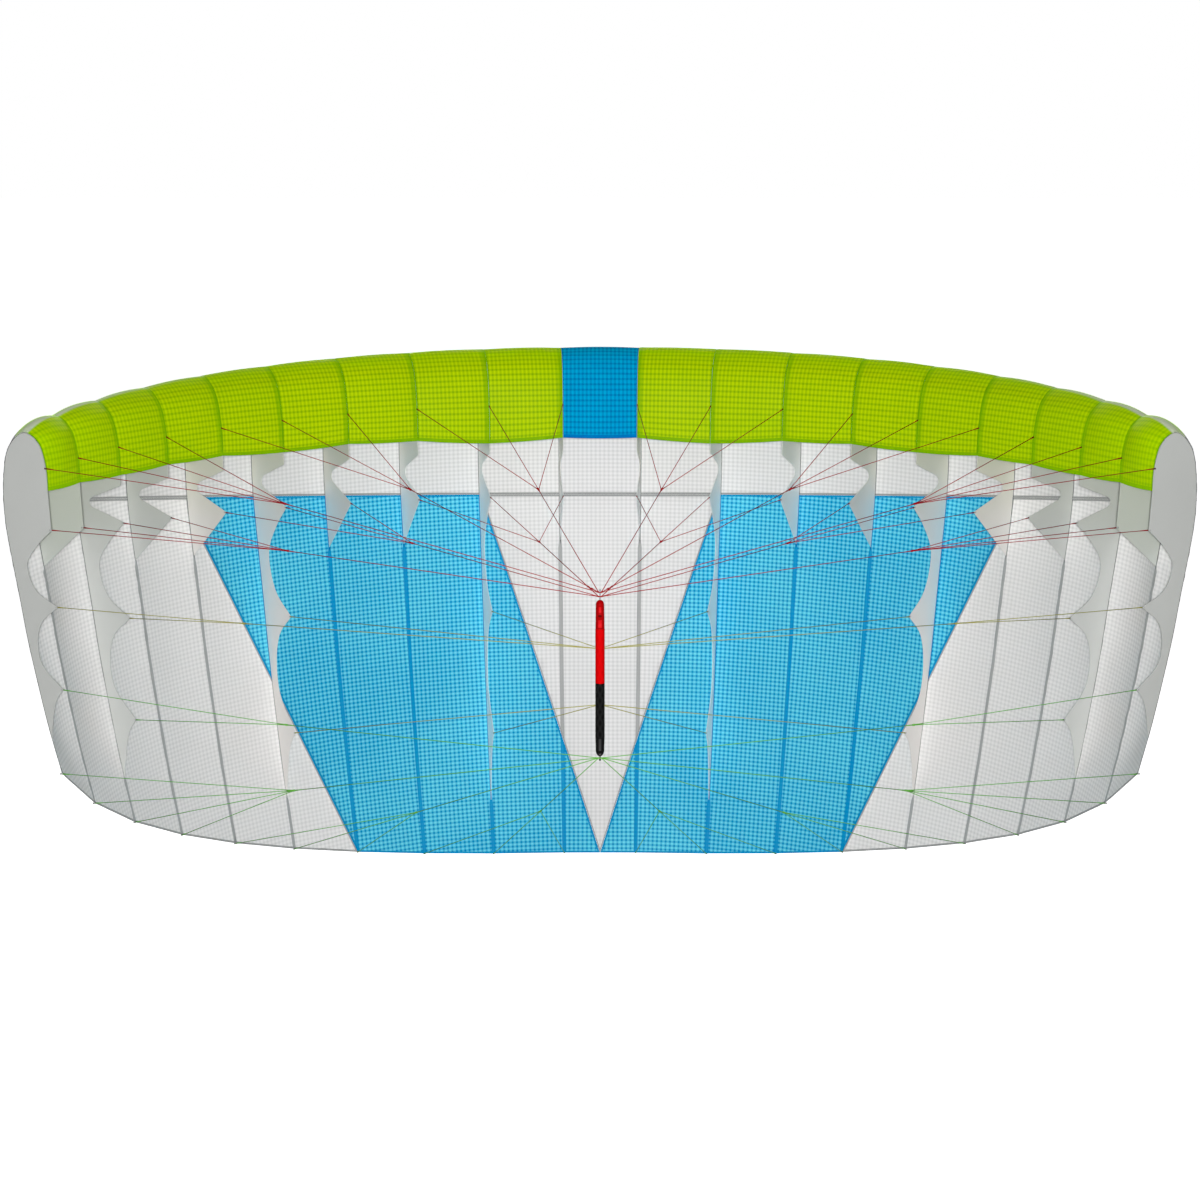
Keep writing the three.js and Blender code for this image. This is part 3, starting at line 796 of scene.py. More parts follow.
def skin_field(skin, cuts):
    """The part of the skin on the inner side of each cut, with its way from the bands of the cuts and hem."""
    bm = skin.copy()
    for cut in cuts:
        for plane in cut.planes:
            for inset in (GAP / 2, cut.half, cut.half + STEP):
                bmesh.ops.bisect_plane(
                    bm,
                    geom=bm.verts[:] + bm.edges[:] + bm.faces[:],
                    plane_co=plane.point - plane.normal * inset,
                    plane_no=plane.normal,
                )
        beyond = [face for face in bm.faces if way_in(cut, face.calc_center_median()) < GAP / 2]
        bmesh.ops.delete(bm, geom=beyond, context="FACES")
    edge = bm.verts.layers.float["edge"]
    weave = bm.verts.layers.float_vector["weave"]
    for vert in bm.verts:
        ways = [way_in(cut, vert.co) - cut.half for cut in cuts]
        vert[edge] = min(*ways, vert[edge] - TRAILING_HEM) + HEM
    set_layers(bm, lambda vert: min(vert[edge] - HEM, vert[weave].z - SEAM_HALF) < NEAR)
    return bm


def add_top_skin():
    skin = top_skin()
    forward, aftward = both_ways(CROSS_SEAM_POINT, CROSS_SEAM_NORMAL)
    behind = Cut([forward], SEAM_HALF)
    fields = [("front", [Cut([aftward], SEAM_HALF)], "white")]
    wedge_cuts = []
    for side, name in ((-1, "L"), (1, "R")):
        outboard, inboard = seam_planes(OUTER_SEAM, side)
        wedge_outboard, wedge_inboard = seam_planes(WEDGE_SEAM, side)
        last_outboard, last_inboard = rib_planes(LAST_BLUE_RIB, side)
        blue_cuts = [Cut([outboard], SEAM_HALF), Cut([last_outboard], 0.0), Cut([wedge_inboard], SEAM_HALF)]
        fields.append((f"outer_{name}", [behind, Cut([inboard, last_inboard], LAPPED_HALF)], "outer"))
        fields.append((f"blue_{name}", [behind, *blue_cuts], "blue"))
        wedge_cuts.append(Cut([wedge_outboard], LAPPED_HALF))
    fields.append(("centre", [behind, *wedge_cuts], "white"))
    finishes = {
        "white": ripstop("white_cloth", WHITE, SEAM_HALF),
        "outer": ripstop("outer_white_cloth", OUTER_WHITE, OUTER_SEAM_HALF),
        "blue": ripstop("blue_cloth", BLUE, SEAM_HALF),
    }
    for name, cuts, tone in fields:
        bm = skin_field(skin, cuts)
        node = f"skin_{name}"
        slot = "blue_cloth" if tone == "blue" else "white_cloth"
        add_sheet(f"cloth_{node}", bm, finishes[tone], node, SKIN_THICKNESS, BELOW)
    skin.free()


# Nose panels
NOSE_ROWS = even(0, NOSE_SEAM_ROW - SEAM_CLEARANCE, 40)
PAINTED_GLOW_ROW = 2.3  # from here on and towards the tips the nose is painted greener: painted light that shines through it
PAINTED_GLOW_POWER = 4
RIM_ROW = 3.3  # from here on the nose turns pale, most at the tips
RIM_RUN = 0.5  # rows in which it does
RIM_POWER = 3


def nose_panel(cell):
    """One cell's nose, from the hem of its lip to the seam with the top skin."""
    width = cell_width(cell)
    clear = NOSE_SIDE_CLEARANCE / width
    band = NOSE_BAND / width
    inner = [band + STEP / width, LAP / width, 2 * LAP / width]
    shares = [clear, band] + inner + even(0.25, 0.75, 8) + [1 - share for share in reversed(inner)]
    shares += [1 - band, 1 - clear]
    ways = dict(zip(NOSE_ROWS, lengths_along(NOSE_ROWS)))
    sag = LIP_SAG / (section(0).point - section(1).point).length
    lip_ends = [LIP_FORWARD[rib.number - 1] for rib in RIBS[cell:cell + 2]]
    reach = abs(cell - MIDDLE_CELL) / MIDDLE_CELL

    def bend(share, row):
        chord = chord_at(cell, share)
        along = ways[row] * chord
        forward = lip_ends[0] * (1 - share) + lip_ends[1] * share
        lower = 4 * share * (1 - share) * sag / chord
        cut_row = row + max(0.0, 1 - row) * (forward - lower)
        point, here, distance = skin_point(cell, share, cut_row, along)
        weave = Vector((CELL_MIDDLES[cell] + (share - 0.5) * here, along, distance))
        inboard = (share if cell > MIDDLE_CELL else 1 - share) * width
        lap = min(1.0, max(0.0, 2 - inboard / LAP))
        glow = max(reach**PAINTED_GLOW_POWER, min(1.0, max(0.0, row - PAINTED_GLOW_ROW)))
        rim = reach**RIM_POWER * min(1.0, max(0.0, (row - RIM_ROW) / RIM_RUN))
        is_green = 0.0 if cell == MIDDLE_CELL else 1.0
        return point, weave, along, lap * is_green, glow * is_green, rim

    bm = bent_sheet(shares, NOSE_ROWS, bend, ["lap", "glow", "rim"])
    edge = bm.verts.layers.float["edge"]
    set_layers(bm, lambda vert: vert[edge] < HEM)
    return bm


def add_nose():
    green = ripstop("green_cloth", GREEN, NOSE_BAND)
    blue = ripstop("deep_blue_cloth", DEEP_BLUE, NOSE_BAND)
    for cell in range(CELLS):
        offset = cell - MIDDLE_CELL
        name = "C" if offset == 0 else f"{'L' if offset < 0 else 'R'}{abs(offset)}"
        finish, slot = (blue, "deep_blue_cloth") if offset == 0 else (green, "green_cloth")
        node = f"nose_{name}"
        add_sheet(f"cloth_{node}", nose_panel(cell), finish, node, SKIN_THICKNESS, BELOW)


# Ribs
RIB_INSET = SEAM_THICKNESS + GAP
RIB_ROWS = even(0, 1, 8)
CURVE_STEPS = 20
CAMBER_ROW = 8  # top of the profile


def rib_lower_edge(rib):
    """Points of a rib's lower edge, from the tip of the nose to where it runs out on the skin."""
    inset = RIB_INSET / rib.chord
    nose = [section(row) for row in even(NOSE_TIP_ROW, 0, CURVE_STEPS)]
    points = [here.point - here.outward * inset for here in nose]
    front = [Vector(point) for point in RIB_FRONT_EDGE]
    if rib.number > LAST_NOTCHED_RIB:
        front = [front[0].lerp(front[-2], share) for share in even(0, 1, 8)] + front[-1:]
    points += front
    is_long = rib.number in LONG_RIBS
    last = section(LONG_RIB_ROW if is_long else SHORT_RIB_ROW)
    end = last.point - last.outward * inset
    if not is_long:
        return points + [front[-1].lerp(end, share) for share in even(0, 1, 6)[1:]]
    for curve in (*SCALLOPS, [*TAIL, end]):
        corners = [Vector(point) for point in curve]
        points += [smooth_curve(corners, at)[0] for at in even(0, len(corners) - 1, CURVE_STEPS)]
    return points


def rib_upper_edge(rib):
    """Points of a rib's upper edge, from the tip of the nose along the skin."""
    inset = RIB_INSET / rib.chord
    rows = even(NOSE_TIP_ROW, CAMBER_ROW, 48) + even(CAMBER_ROW, LONG_RIB_ROW, 60)[1:]
    return [here.point - here.outward * inset for here in map(section, rows)]


def height_at(points, aft):
    """Height of an edge at this place along the chord."""
    for before, after in zip(points, points[1:]):
        if before.x <= aft <= after.x:
            return before.y + (after.y - before.y) * (aft - before.x) / max(after.x - before.x, TINY)
    return points[0].y if aft < points[0].x else points[-1].y


def rib_sheet(rib):
    lower, upper = rib_lower_edge(rib), rib_upper_edge(rib)
    columns = [(point, Vector((point.x, max(point.y, height_at(upper, point.x))))) for point in lower]

    def bend(column, share):
        bottom, top = column
        point = bottom.lerp(top, share)
        weave = Vector((point.x, point.y, 0)) * rib.chord
        return rib.place(point), weave, (point.y - bottom.y) * rib.chord

    bm = bent_sheet(columns, RIB_ROWS, bend)
    bmesh.ops.remove_doubles(bm, verts=bm.verts[:], dist=NEAR)
    return bm


def add_ribs():
    finishes = {tone.last_rib: rib_cloth(tone) for tone in PAINTED_RIB_LIGHT}
    for rib in RIBS:
        node = f"rib_{rib.name}"
        # each rib takes the painted tone of light and shade of its run
        finish = finishes[min(last for last in finishes if last >= rib.number)]
        add_sheet(f"cloth_{node}", rib_sheet(rib), finish, node, RIB_THICKNESS, BOTH_SIDES)


# Lines
CORD_RADIUS = 0.001
CORD_SIDES = 8
CORD_CLEARANCE = 0.001
SPLICE_RADIUS = 0.0019
SPLICE_LENGTH = 0.026
BAR_SPLICE_LENGTH = 0.008
SLEEVES = [(0.0215, 0.0315), (0.0375, 0.049)]  # from and to this far along a line from the bar
SLEEVE_RADIUS = 0.0021
SLEEVE_TAPER = 0.25  # of its length, at each end
SLEEVED_RIB = 5  # the line that leads to it has the sleeves
LOOP_RADIUS = 0.0032
LOOP_CORD_RADIUS = 0.0012
BACK_KNOT_RADIUS = 0.003
RING_STEPS = 14
KNOT_CORD_RADIUS = 0.0011
STOPPER_CORD_RADIUS = 0.0012
# Turns of cord in each kind of knot: radius of a turn and its shift along the cord
LINE_KNOT = [(0.0017, -0.0024), (0.0017, 0.0), (0.0017, 0.0024)]
BACK_KNOT = [(0.0012, 0.0018), (0.0017, 0.0), (0.0012, -0.0018)]
STOPPER_KNOT = [(0.0014, -0.0016), (0.0019, 0.0), (0.0014, 0.0016)]
GRIP_RADIUS = 0.0111
TABS = {
    "A": (0.096, 0.007),
    "B": (0.274, 0.0),
    "C": (0.5, -0.008),
    "D": (0.745, -0.015),
    "trailing": (1.0, 0.002),
}
LineEnd = namedtuple("LineEnd", "kind z slot")
LINE_ENDS = {
    "A": LineEnd("loop", 0.208, "red_line"),
    "B": LineEnd("loop", 0.198, "red_line"),
    "C": LineEnd("back", 0.069, "olive_line"),
    "D": LineEnd("back", -0.067, "olive_line"),
    "rear": LineEnd("loop", -0.194, "green_line"),
}
Cascade = namedtuple("Cascade", "set tab ribs knot")
CASCADES = [
    Cascade("A", "A", (1, 2, 3), 0.5),
    Cascade("A", "A", (4, 5, 6), 0.555),
    Cascade("A", "A", (7, 8, 9, 10), 0.605),
    Cascade("B", "B", (1, 2, 3), 0.5),
    Cascade("B", "B", (4, 5, 6), 0.555),
    Cascade("B", "B", (7, 8, 9, 10), 0.605),
    Cascade("C", "C", (2,), None),
    Cascade("C", "C", (5,), None),
    Cascade("C", "C", (8, 10), 0.68),
    Cascade("D", "D", (2,), None),
    Cascade("D", "D", (5,), None),
    Cascade("rear", "D", (8, 10), 0.6),
    Cascade("rear", "trailing", (1, 2, 3), 0.5),
    Cascade("rear", "trailing", (4, 5, 6), 0.555),
    Cascade("rear", "trailing", (7, 8, 9, 10), 0.605),
]


def spin_round(bm, outline, steps):
    """Turns an outline all the way round the Z axis."""
    return bmesh.ops.spin(
        bm, geom=outline, cent=(0, 0, 0), axis=(0, 0, 1), angle=math.tau, steps=steps, use_merge=True
    )


def stood_on(centre, axis):
    """The move that takes a shape from the origin to a centre, and its Z axis to this one."""
    return Matrix.Translation(centre) @ axis.to_track_quat("Z", "Y").to_matrix().to_4x4()


def new_cords():
    bm = bmesh.new()
    bm.verts.layers.float_vector.new("weave")
    return bm


def add_cord(bm, start, end, start_radius, end_radius):
    """A round cord between two points, with the turn round it and the length along it as its weave."""
    weave = bm.verts.layers.float_vector["weave"]
    run = end - start
    made = bmesh.ops.create_cone(
        bm,
        cap_ends=True,
        segments=CORD_SIDES,
        radius1=start_radius,
        radius2=end_radius,
        depth=run.length,
    )
    for vert in made["verts"]:
        round_it = vert.co.xy.normalized()
        vert[weave] = (round_it.x, round_it.y, vert.co.z + run.length / 2)
    bmesh.ops.transform(bm, matrix=stood_on(start.lerp(end, 0.5), run), verts=made["verts"])


def add_spliced_cord(bm, start, end, start_splice, end_splice):
    """A cord whose spliced ends of these lengths are thicker and taper into it."""
    run = (end - start).normalized()
    first, last = start + run * start_splice, end - run * end_splice
    add_cord(bm, start, first, SPLICE_RADIUS, CORD_RADIUS)
    add_cord(bm, first, last, CORD_RADIUS, CORD_RADIUS)
    add_cord(bm, last, end, CORD_RADIUS, SPLICE_RADIUS)


def add_sleeve(bm, start, end, low, high):
    """A tight sleeve with tapered ends round a cord, from low to high along it."""
    run = (end - start).normalized()
    taper = SLEEVE_TAPER * (high - low)
    full = [(low + taper, SLEEVE_RADIUS), (high - taper, SLEEVE_RADIUS)]
    stops = [(low, CORD_RADIUS), *full, (high, CORD_RADIUS)]
    for (near, near_radius), (far, far_radius) in zip(stops, stops[1:]):
        add_cord(bm, start + run * near, start + run * far, near_radius, far_radius)


def add_ring(bm, centre, axis, radius, cord_radius):
    """A ring of cord: a circle turned about an axis."""
    weave = bm.verts.layers.float_vector["weave"]
    verts = bmesh.ops.create_circle(bm, segments=CORD_SIDES, radius=cord_radius)["verts"]
    for vert in verts:
        round_it = vert.co.xy.normalized()
        vert[weave] = (round_it.x, round_it.y, 0)
    upright = Matrix.Rotation(math.pi / 2, 4, "X")
    bmesh.ops.transform(bm, matrix=Matrix.Translation((radius, 0, 0)) @ upright, verts=verts)
    edges = list({edge for vert in verts for edge in vert.link_edges})
    spun = spin_round(bm, verts + edges, RING_STEPS)
    found = set(verts) | {item for item in spun["geom_last"] if isinstance(item, bmesh.types.BMVert)}
    ring = set()
    front = [vert for vert in found if vert.is_valid]
    while front:
        vert = front.pop()
        if vert not in ring:
            ring.add(vert)
            front += [edge.other_vert(vert) for edge in vert.link_edges]
    bmesh.ops.transform(bm, matrix=stood_on(centre, axis), verts=list(ring))


def add_knot(bm, centre, along, turns, cord_radius):
    """A tied knot: turns of cord side by side."""
    for radius, shift in turns:
        add_ring(bm, centre + along * shift, along, radius, cord_radius)


def tab_point(rib, tab):
    depth = SKIN_THICKNESS if tab == "trailing" else 0.0
    return rib.place(TABS[tab]) - rib.up * depth


def bar_end(name, side):
    """Where a line set's cords of one side start at the bar, or for side 0 the middle of its end there."""
    place = LINE_ENDS[name]
    if place.kind == "loop":
        return Vector((side * LOOP_RADIUS, 0, place.z))
    return Vector((0, GRIP_RADIUS + GAP + BACK_KNOT_RADIUS, place.z))


def cascade_tabs(cascade, side):
    return [tab_point(rib, cascade.tab) for rib in RIBS if rib.side == side and rib.number in cascade.ribs]


def cascade_meeting(cascade, side):
    """Where the cords of a cascade meet: at its knot, or at the bar where it has none."""
    tabs = cascade_tabs(cascade, side)
    return bar_end(cascade.set, side).lerp(sum(tabs, Vector()) / len(tabs), cascade.knot or 0.0)


def add_cascade(bm, cascade, side):
    """The cords of some ribs on one side of the wing, through their knot to the bar."""
    bar_point = bar_end(cascade.set, side)
    meeting = cascade_meeting(cascade, side)
    end_splice = SPLICE_LENGTH if cascade.knot else BAR_SPLICE_LENGTH
    for tab in cascade_tabs(cascade, side):
        start = tab + (meeting - tab).normalized() * CORD_CLEARANCE
        add_spliced_cord(bm, start, meeting, SPLICE_LENGTH, end_splice)
    if cascade.knot:
        add_spliced_cord(bm, bar_point, meeting, BAR_SPLICE_LENGTH, SPLICE_LENGTH)
        add_knot(bm, meeting, (meeting - bar_point).normalized(), LINE_KNOT, KNOT_CORD_RADIUS)
    if cascade.set == "A" and SLEEVED_RIB in cascade.ribs:
        for low, high in SLEEVES:
            add_sleeve(bm, bar_point, meeting, low, high)


def add_line_end(bm, name):
    """The end of a line set at the bar: a ring of cord, or a knot behind the grip."""
    centre = bar_end(name, 0)
    if LINE_ENDS[name].kind == "loop":
        add_ring(bm, centre, FORE, LOOP_RADIUS, LOOP_CORD_RADIUS)
    else:
        add_knot(bm, centre, FORE, BACK_KNOT, STOPPER_CORD_RADIUS)


def add_lines():
    finishes = {
        "red_line": cord_finish("red_line", colour(172, 8, 20), colour(128, 2, 10)),
        "olive_line": cord_finish("olive_line", colour(172, 170, 84), colour(134, 132, 54)),
        "green_line": cord_finish("green_line", colour(112, 194, 72), colour(74, 152, 46)),
    }
    for name, place in LINE_ENDS.items():
        bm = new_cords()
        add_line_end(bm, name)
        for cascade in CASCADES:
            if cascade.set == name:
                for side in (-1, 1):
                    add_cascade(bm, cascade, side)
        add_piece(f"cords_{name}", bm, [finishes[place.slot]], [f"lines_{name}"])


# Tabs: short tapes folded over the cloth's edge, with a line's end in the fold
TAB_WIDTH = 0.004
TAB_LEG = 0.006
TAB_FOLD = 0.0013
FOLD_STEPS = 6
TAPE_THICKNESS = 0.0004


def add_tab(bm, rib, point, pull):
    """One folded tape at a point of a rib, its fold towards the line's pull."""
    tape = bmesh.new()
    ends = [tape.verts.new((x, TAB_FOLD, 0)) for x in (-TAB_WIDTH / 2, TAB_WIDTH / 2)]
    edge = tape.edges.new(ends)
    half_turn = {"cent": (0, 0, 0), "axis": (1, 0, 0), "angle": math.pi}
    fold = bmesh.ops.spin(tape, geom=ends + [edge], steps=FOLD_STEPS, use_duplicate=False, **half_turn)
    last = [item for item in fold["geom_last"] if isinstance(item, bmesh.types.BMEdge)]
    for leg in ([edge], last):
        made = bmesh.ops.extrude_edge_only(tape, edges=leg)
        verts = [item for item in made["geom"] if isinstance(item, bmesh.types.BMVert)]
        bmesh.ops.translate(tape, vec=(0, 0, -TAB_LEG), verts=verts)
    bmesh.ops.recalc_face_normals(tape, faces=tape.faces[:])
    bmesh.ops.solidify(tape, geom=tape.faces[:], thickness=TAPE_THICKNESS)
    across = rib.up.cross(AFT).normalized()
    width = across.cross(pull).normalized()
    across = pull.cross(width)
    place = Matrix((width, across, pull)).transposed().to_4x4()
    bmesh.ops.transform(tape, matrix=Matrix.Translation(point) @ place, verts=tape.verts[:])
    mesh = bpy.data.meshes.new("tape")
    tape.to_mesh(mesh)
    tape.free()
    bm.from_mesh(mesh)
    bpy.data.meshes.remove(mesh)


def add_tabs():
    """All the tabs of each row across the wing, as one piece."""
    dark = tape_finish("dark_tape", colour(96, 40, 30), colour(60, 26, 20))
    pale = tape_finish("pale_tape", colour(206, 208, 204), colour(176, 178, 176))
    for name in TABS:
        bm = bmesh.new()
        for cascade in CASCADES:
            if cascade.tab == name:
                for rib in RIBS:
                    if rib.number in cascade.ribs:
                        point = tab_point(rib, name)
                        meeting = cascade_meeting(cascade, rib.side)
                        add_tab(bm, rib, point, (meeting - point).normalized())
        add_piece(f"tabs_{name}", bm, [dark if name == "A" else pale])


# Hand bar
BAR_STEPS = 64
FRONT_CAP_Z = 0.121
FRONT_GRIP_Z = -0.011
REAR_GRIP_Z = -0.143
BAR_FRONT_Z = 0.19
BAR_REAR_Z = -0.19
GRIP_EDGE = 0.0011
GRIP_ROWS = 56
# Lattice of low ridges on the grips
RIDGE_DEPTH = 0.0005
RIDGE_POWER = 3
RIDGE_TURNS = 5
RIDGE_PITCH = 0.0272
RIDGE_START = 0.0977
# Caps, with flats on their front from z to z that end in a short run
Cap = namedtuple("Cap", "joint end joint_radius shoulder_radius round_length flats")
FRONT_CAP = Cap(
    joint=FRONT_CAP_Z + GAP,
    end=BAR_FRONT_Z,
    joint_radius=0.0107,
    shoulder_radius=0.0099,
    round_length=0.012,
    flats=[(0.1247, 0.1435), (0.161, 0.1748)],
)
REAR_CAP = Cap(
    joint=REAR_GRIP_Z - GAP,
    end=BAR_REAR_Z,
    joint_radius=0.011,
    shoulder_radius=0.0101,
    round_length=0.016,
    flats=[(-0.1755, -0.1445)],
)
CAP_EDGE = 0.0008
CAP_ROUND_STEPS = 14
FLAT_FACE_Y = -0.0095
FLAT_RUN = 0.0006
# Grains per metre in the foam and in the moulded caps
FOAM_GRAIN = 900.0
CAP_GRAIN = 300.0
# Oval recess of the front cap and eye of the rear one
RECESS_Z = 0.1528
RECESS_HALF = Vector((0.0046, 0.0028))
RECESS_PROFILE = [(0.0, -0.0001), (0.6, -0.0001), (0.78, 0.0003), (0.9, 0.0003), (1.0, -0.0003)]
RECESS_LIFT = 0.0002
EYE_Z = -0.1825
EYE_RADIUS = 0.0021
EYE_CORD_RADIUS = 0.0007
EYE_Y = -0.0085


def turned(profile):
    """A round piece from its profile of (radius, z), turned about the bar's axis."""
    bm = bmesh.new()
    verts = [bm.verts.new((radius, 0, z)) for radius, z in profile]
    edges = [bm.edges.new(pair) for pair in zip(verts, verts[1:])]
    spin_round(bm, verts + edges, BAR_STEPS)
    bmesh.ops.remove_doubles(bm, verts=bm.verts[:], dist=TINY)
    bmesh.ops.recalc_face_normals(bm, faces=bm.faces[:])
    return bm


def rounded(corner, start, stop, radius, steps=6):
    """Points of a quarter round between two angles about its centre."""
    return [
        (corner[0] + radius * math.cos(angle), corner[1] + radius * math.sin(angle))
        for angle in even(start, stop, steps)
    ]


def grip(low, high):
    """A foam grip between two heights, with its lattice of ridges."""
    inner = GRIP_RADIUS - GRIP_EDGE
    profile = [(0.0, low)]
    profile += rounded((inner, low + GRIP_EDGE), -math.pi / 2, 0, GRIP_EDGE)
    profile += [(GRIP_RADIUS, z) for z in even(low + GRIP_EDGE, high - GRIP_EDGE, GRIP_ROWS)[1:-1]]
    profile += rounded((inner, high - GRIP_EDGE), 0, math.pi / 2, GRIP_EDGE)
    bm = turned(profile + [(0.0, high)])
    painted_ridge_light = bm.verts.layers.float.new("painted_ridge_light")
    for vert in bm.verts:
        turn = math.atan2(vert.co.x, -vert.co.y) / math.tau * RIDGE_TURNS
        way = (vert.co.z - RIDGE_START) / RIDGE_PITCH
        ridges = [abs(math.cos(math.pi * (turn + slant * way))) for slant in (1, -1)]
        ridge = max(ridges) ** RIDGE_POWER
        # painted light and shade: ridges marked to be painted lighter, hollows darker
        vert[painted_ridge_light] = ridge
        if vert.co.xy.length > GRIP_RADIUS - NEAR:
            vert.co.xy *= 1 - RIDGE_DEPTH * (1 - ridge) / GRIP_RADIUS
    return bm


def cap_shell(cap):
    """A cap from its joint with the grip, tapered to its round end, with its flats pressed in and painted
    paler as a painted reflection.
    """
    outward = 1 if cap.end > cap.joint else -1
    shoulder = cap.end - outward * cap.round_length
    marks = [z for low, high in cap.flats for z in (low - FLAT_RUN, low, high, high + FLAT_RUN)]
    profile = [(0.0, cap.joint), (cap.joint_radius - CAP_EDGE, cap.joint)]
    for z in [cap.joint + outward * CAP_EDGE] + sorted(marks, reverse=outward < 0):
        share = (z - cap.joint) / (shoulder - cap.joint)
        profile.append((cap.joint_radius + (cap.shoulder_radius - cap.joint_radius) * share, z))
    for angle in even(0, math.pi / 2, CAP_ROUND_STEPS):
        radius = cap.shoulder_radius * math.cos(angle) if angle < math.pi / 2 - TINY else 0.0
        profile.append((radius, shoulder + outward * cap.round_length * math.sin(angle)))
    bm = turned(profile)
    bm.verts.layers.float.new("painted_ridge_light")
    for vert in bm.verts:
        if any(low - NEAR < vert.co.z < high + NEAR for low, high in cap.flats):
            vert.co.y = max(vert.co.y, FLAT_FACE_Y)
    # the flats take the second material, painted paler as a painted reflection
    for face in bm.faces:
        if all(abs(vert.co.y - FLAT_FACE_Y) < TINY for vert in face.verts):
            face.material_index = 1
    return bm


def recess():
    """The oval recess: a low rim round a sunken floor, laid on the round of the cap, painted dark as painted
    shade.
    """
    bm = turned(RECESS_PROFILE)
    bm.verts.layers.float.new("painted_ridge_light")
    radius = (FRONT_CAP.joint_radius + FRONT_CAP.shoulder_radius) / 2
    for vert in bm.verts:
        x, z = vert.co.x * RECESS_HALF.x, vert.co.y * RECESS_HALF.y
        vert.co = (x, -math.sqrt(radius**2 - x**2) - RECESS_LIFT - vert.co.z, RECESS_Z + z)
    bmesh.ops.recalc_face_normals(bm, faces=bm.faces[:])
    return bm


def add_bar():
    red_foam = moulded("red_grip", colour(180, 0, 2), colour(196, 0, 3), 0.6, FOAM_GRAIN)
    black_foam = moulded("black_grip", colour(2, 2, 2), colour(28, 28, 28), 0.6, FOAM_GRAIN)
    red_cap = moulded("red_cap", colour(150, 2, 4), colour(164, 4, 6), 0.36, CAP_GRAIN)
    # the caps' flats are painted paler: painted reflection
    red_flat_highlight = moulded("red_cap_flat_highlight", colour(192, 18, 24), colour(204, 26, 32), 0.36, CAP_GRAIN)
    dark_cap = moulded("dark_cap", colour(14, 14, 14), colour(20, 20, 20), 0.36, CAP_GRAIN)
    dark_flat_highlight = moulded("dark_cap_flat_highlight", colour(52, 52, 52), colour(60, 60, 60), 0.36, CAP_GRAIN)
    # painted shade: the recess is painted dark red
    recess_shade = moulded("cap_recess_shade", colour(92, 0, 0), colour(112, 0, 0), 0.5, CAP_GRAIN)
    steel = moulded("eye_ring", colour(92, 88, 88), colour(112, 108, 108), 0.3, CAP_GRAIN)
    add_piece("hand_cap_front", cap_shell(FRONT_CAP), [red_cap, red_flat_highlight], ["bar_cap_front"])
    front = grip(FRONT_GRIP_Z + GAP, FRONT_CAP_Z)
    add_piece("hand_grip_front", front, [red_foam], ["bar_grip_front"])
    rear = grip(REAR_GRIP_Z, FRONT_GRIP_Z)
    add_piece("hand_grip_rear", rear, [black_foam], ["bar_grip_rear"])
    add_piece("hand_cap_rear", cap_shell(REAR_CAP), [dark_cap, dark_flat_highlight], ["bar_cap_rear"])
    add_piece("hand_recess", recess(), [recess_shade])
    eye = new_cords()
    add_ring(eye, Vector((0, EYE_Y, EYE_Z)), Vector((0, -1, 0)), EYE_RADIUS, EYE_CORD_RADIUS)
    add_piece("hand_eye", eye, [steel])


# Pigtails
PIGTAIL_RADIUS = 0.0015
PIGTAIL_LENGTH = {"front": 0.022, "rear": 0.008}


def add_pigtails():
    pale = cord_finish("pale_grey_cord", colour(166, 165, 168), colour(132, 131, 134))
    dark = cord_finish("dark_grey_cord", colour(70, 74, 70), colour(44, 48, 44))
    for name, bar_z, finish in (("front", BAR_FRONT_Z, pale), ("rear", BAR_REAR_Z, dark)):
        outward = 1 if bar_z > 0 else -1
        start = Vector((0, 0, bar_z + outward * GAP))
        end = Vector((0, 0, bar_z + outward * PIGTAIL_LENGTH[name]))
        bm = new_cords()
        add_cord(bm, start, end, PIGTAIL_RADIUS, PIGTAIL_RADIUS)
        add_knot(bm, end, FORE, STOPPER_KNOT, STOPPER_CORD_RADIUS)
        add_piece(f"cord_pigtail_{name}", bm, [finish], [f"pigtail_{name}"])


# Stage, light and camera
FLOOR_Z = -2.2
CAMERA_PLACE = (0, -5.836, 1.443)
CAMERA_DOWN = math.radians(12)
CAMERA_LENS = 76.42
CAMERA_SHIFT_Y = -0.0045
STUDIO_LIGHT = 0.13
BACKDROP_LIGHT = 1.0
FLOOR_GLOW = 0.95
FLOOR_SIZE = 40
FLOOR_MOTTLE = 0.7
FLOOR_ROUGHNESS = 0.9
LIGHT_AIM = Vector((0, 1.4, 0))
CAMERA_REACH = 200


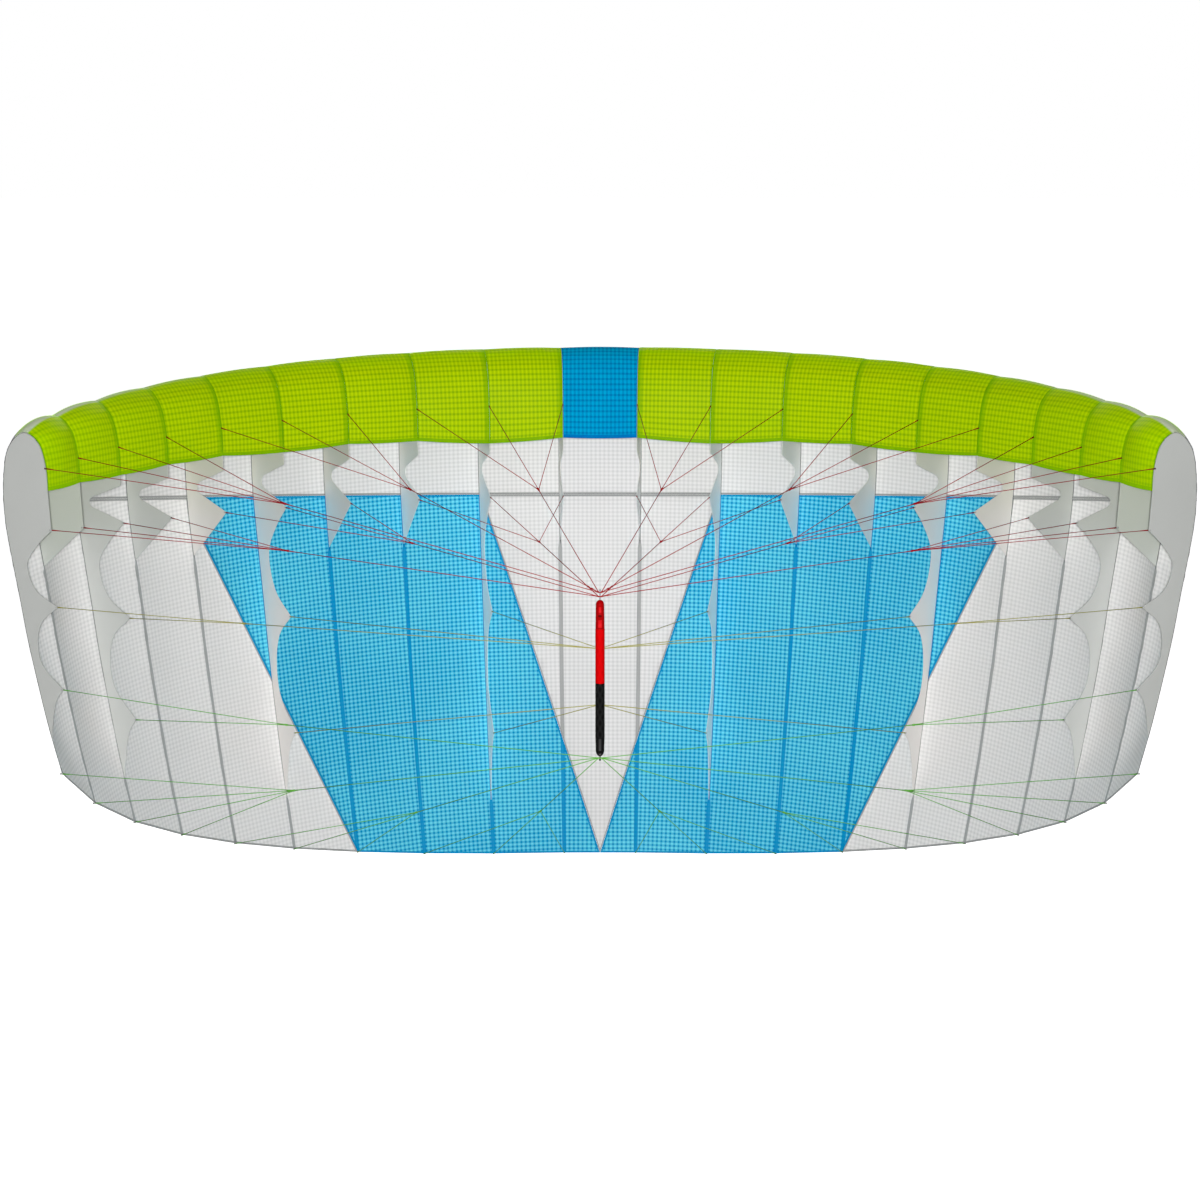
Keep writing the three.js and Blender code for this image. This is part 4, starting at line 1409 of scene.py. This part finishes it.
def add_floor():
    bm = bmesh.new()
    bmesh.ops.create_grid(bm, x_segments=8, y_segments=8, size=FLOOR_SIZE)
    bmesh.ops.translate(bm, vec=(0, FLOOR_SIZE / 2, FLOOR_Z), verts=bm.verts[:])
    material, shade = new_material("pale_floor")
    mottled = shade.place().noise(FLOOR_MOTTLE).tint(colour(244, 244, 244), colour(250, 250, 250))
    finish_material(
        shade,
        Base_Color=mottled,
        Roughness=FLOOR_ROUGHNESS,
        Emission_Color=PURE_WHITE,
        Emission_Strength=FLOOR_GLOW,
    )
    floor = new_object("floor", bm, [material])
    floor.visible_diffuse = False  # its glow doesn't light the wing from below


def add_light(name, place, size, power, spread):
    """A round light on the canopy, which fades away from its middle within the spread."""
    lamp = bpy.data.lights.new(name, "AREA")
    lamp.shape = "DISK"
    lamp.size = size
    lamp.spread = math.radians(spread)
    lamp.energy = power
    light = bpy.data.objects.new(name, lamp)
    light.location = place
    light.rotation_euler = (LIGHT_AIM - Vector(place)).to_track_quat("-Z", "Y").to_euler()
    bpy.context.scene.collection.objects.link(light)


def add_studio():
    scene = bpy.context.scene
    scene.view_settings.view_transform = "Standard"
    world = bpy.data.worlds.new("studio")
    scene.world = world
    world.use_nodes = True
    world.node_tree.nodes.clear()
    sky = Shade(world.node_tree)
    seen = sky.node("ShaderNodeLightPath")
    strength = seen * (BACKDROP_LIGHT - STUDIO_LIGHT) + STUDIO_LIGHT
    glow = sky.node("ShaderNodeBackground", (), {"Color": PURE_WHITE, "Strength": strength})
    sky.node("ShaderNodeOutputWorld", (), {"Surface": glow})
    add_light("front", place=(0, -6.2, 1.52), size=0.25, power=116, spread=86)
    add_light("back", place=(0, 8.0, 3.0), size=4.0, power=180, spread=180)
    lens = bpy.data.cameras.new("camera")
    lens.lens = CAMERA_LENS
    lens.shift_y = CAMERA_SHIFT_Y
    lens.clip_end = CAMERA_REACH
    camera = bpy.data.objects.new("camera", lens)
    camera.location = CAMERA_PLACE
    camera.rotation_euler = (math.pi / 2 - CAMERA_DOWN, 0, 0)
    scene.collection.objects.link(camera)
    scene.camera = camera


add_studio()
add_floor()
add_nose()
add_top_skin()
add_ribs()
add_lines()
add_tabs()
add_bar()
add_pigtails()
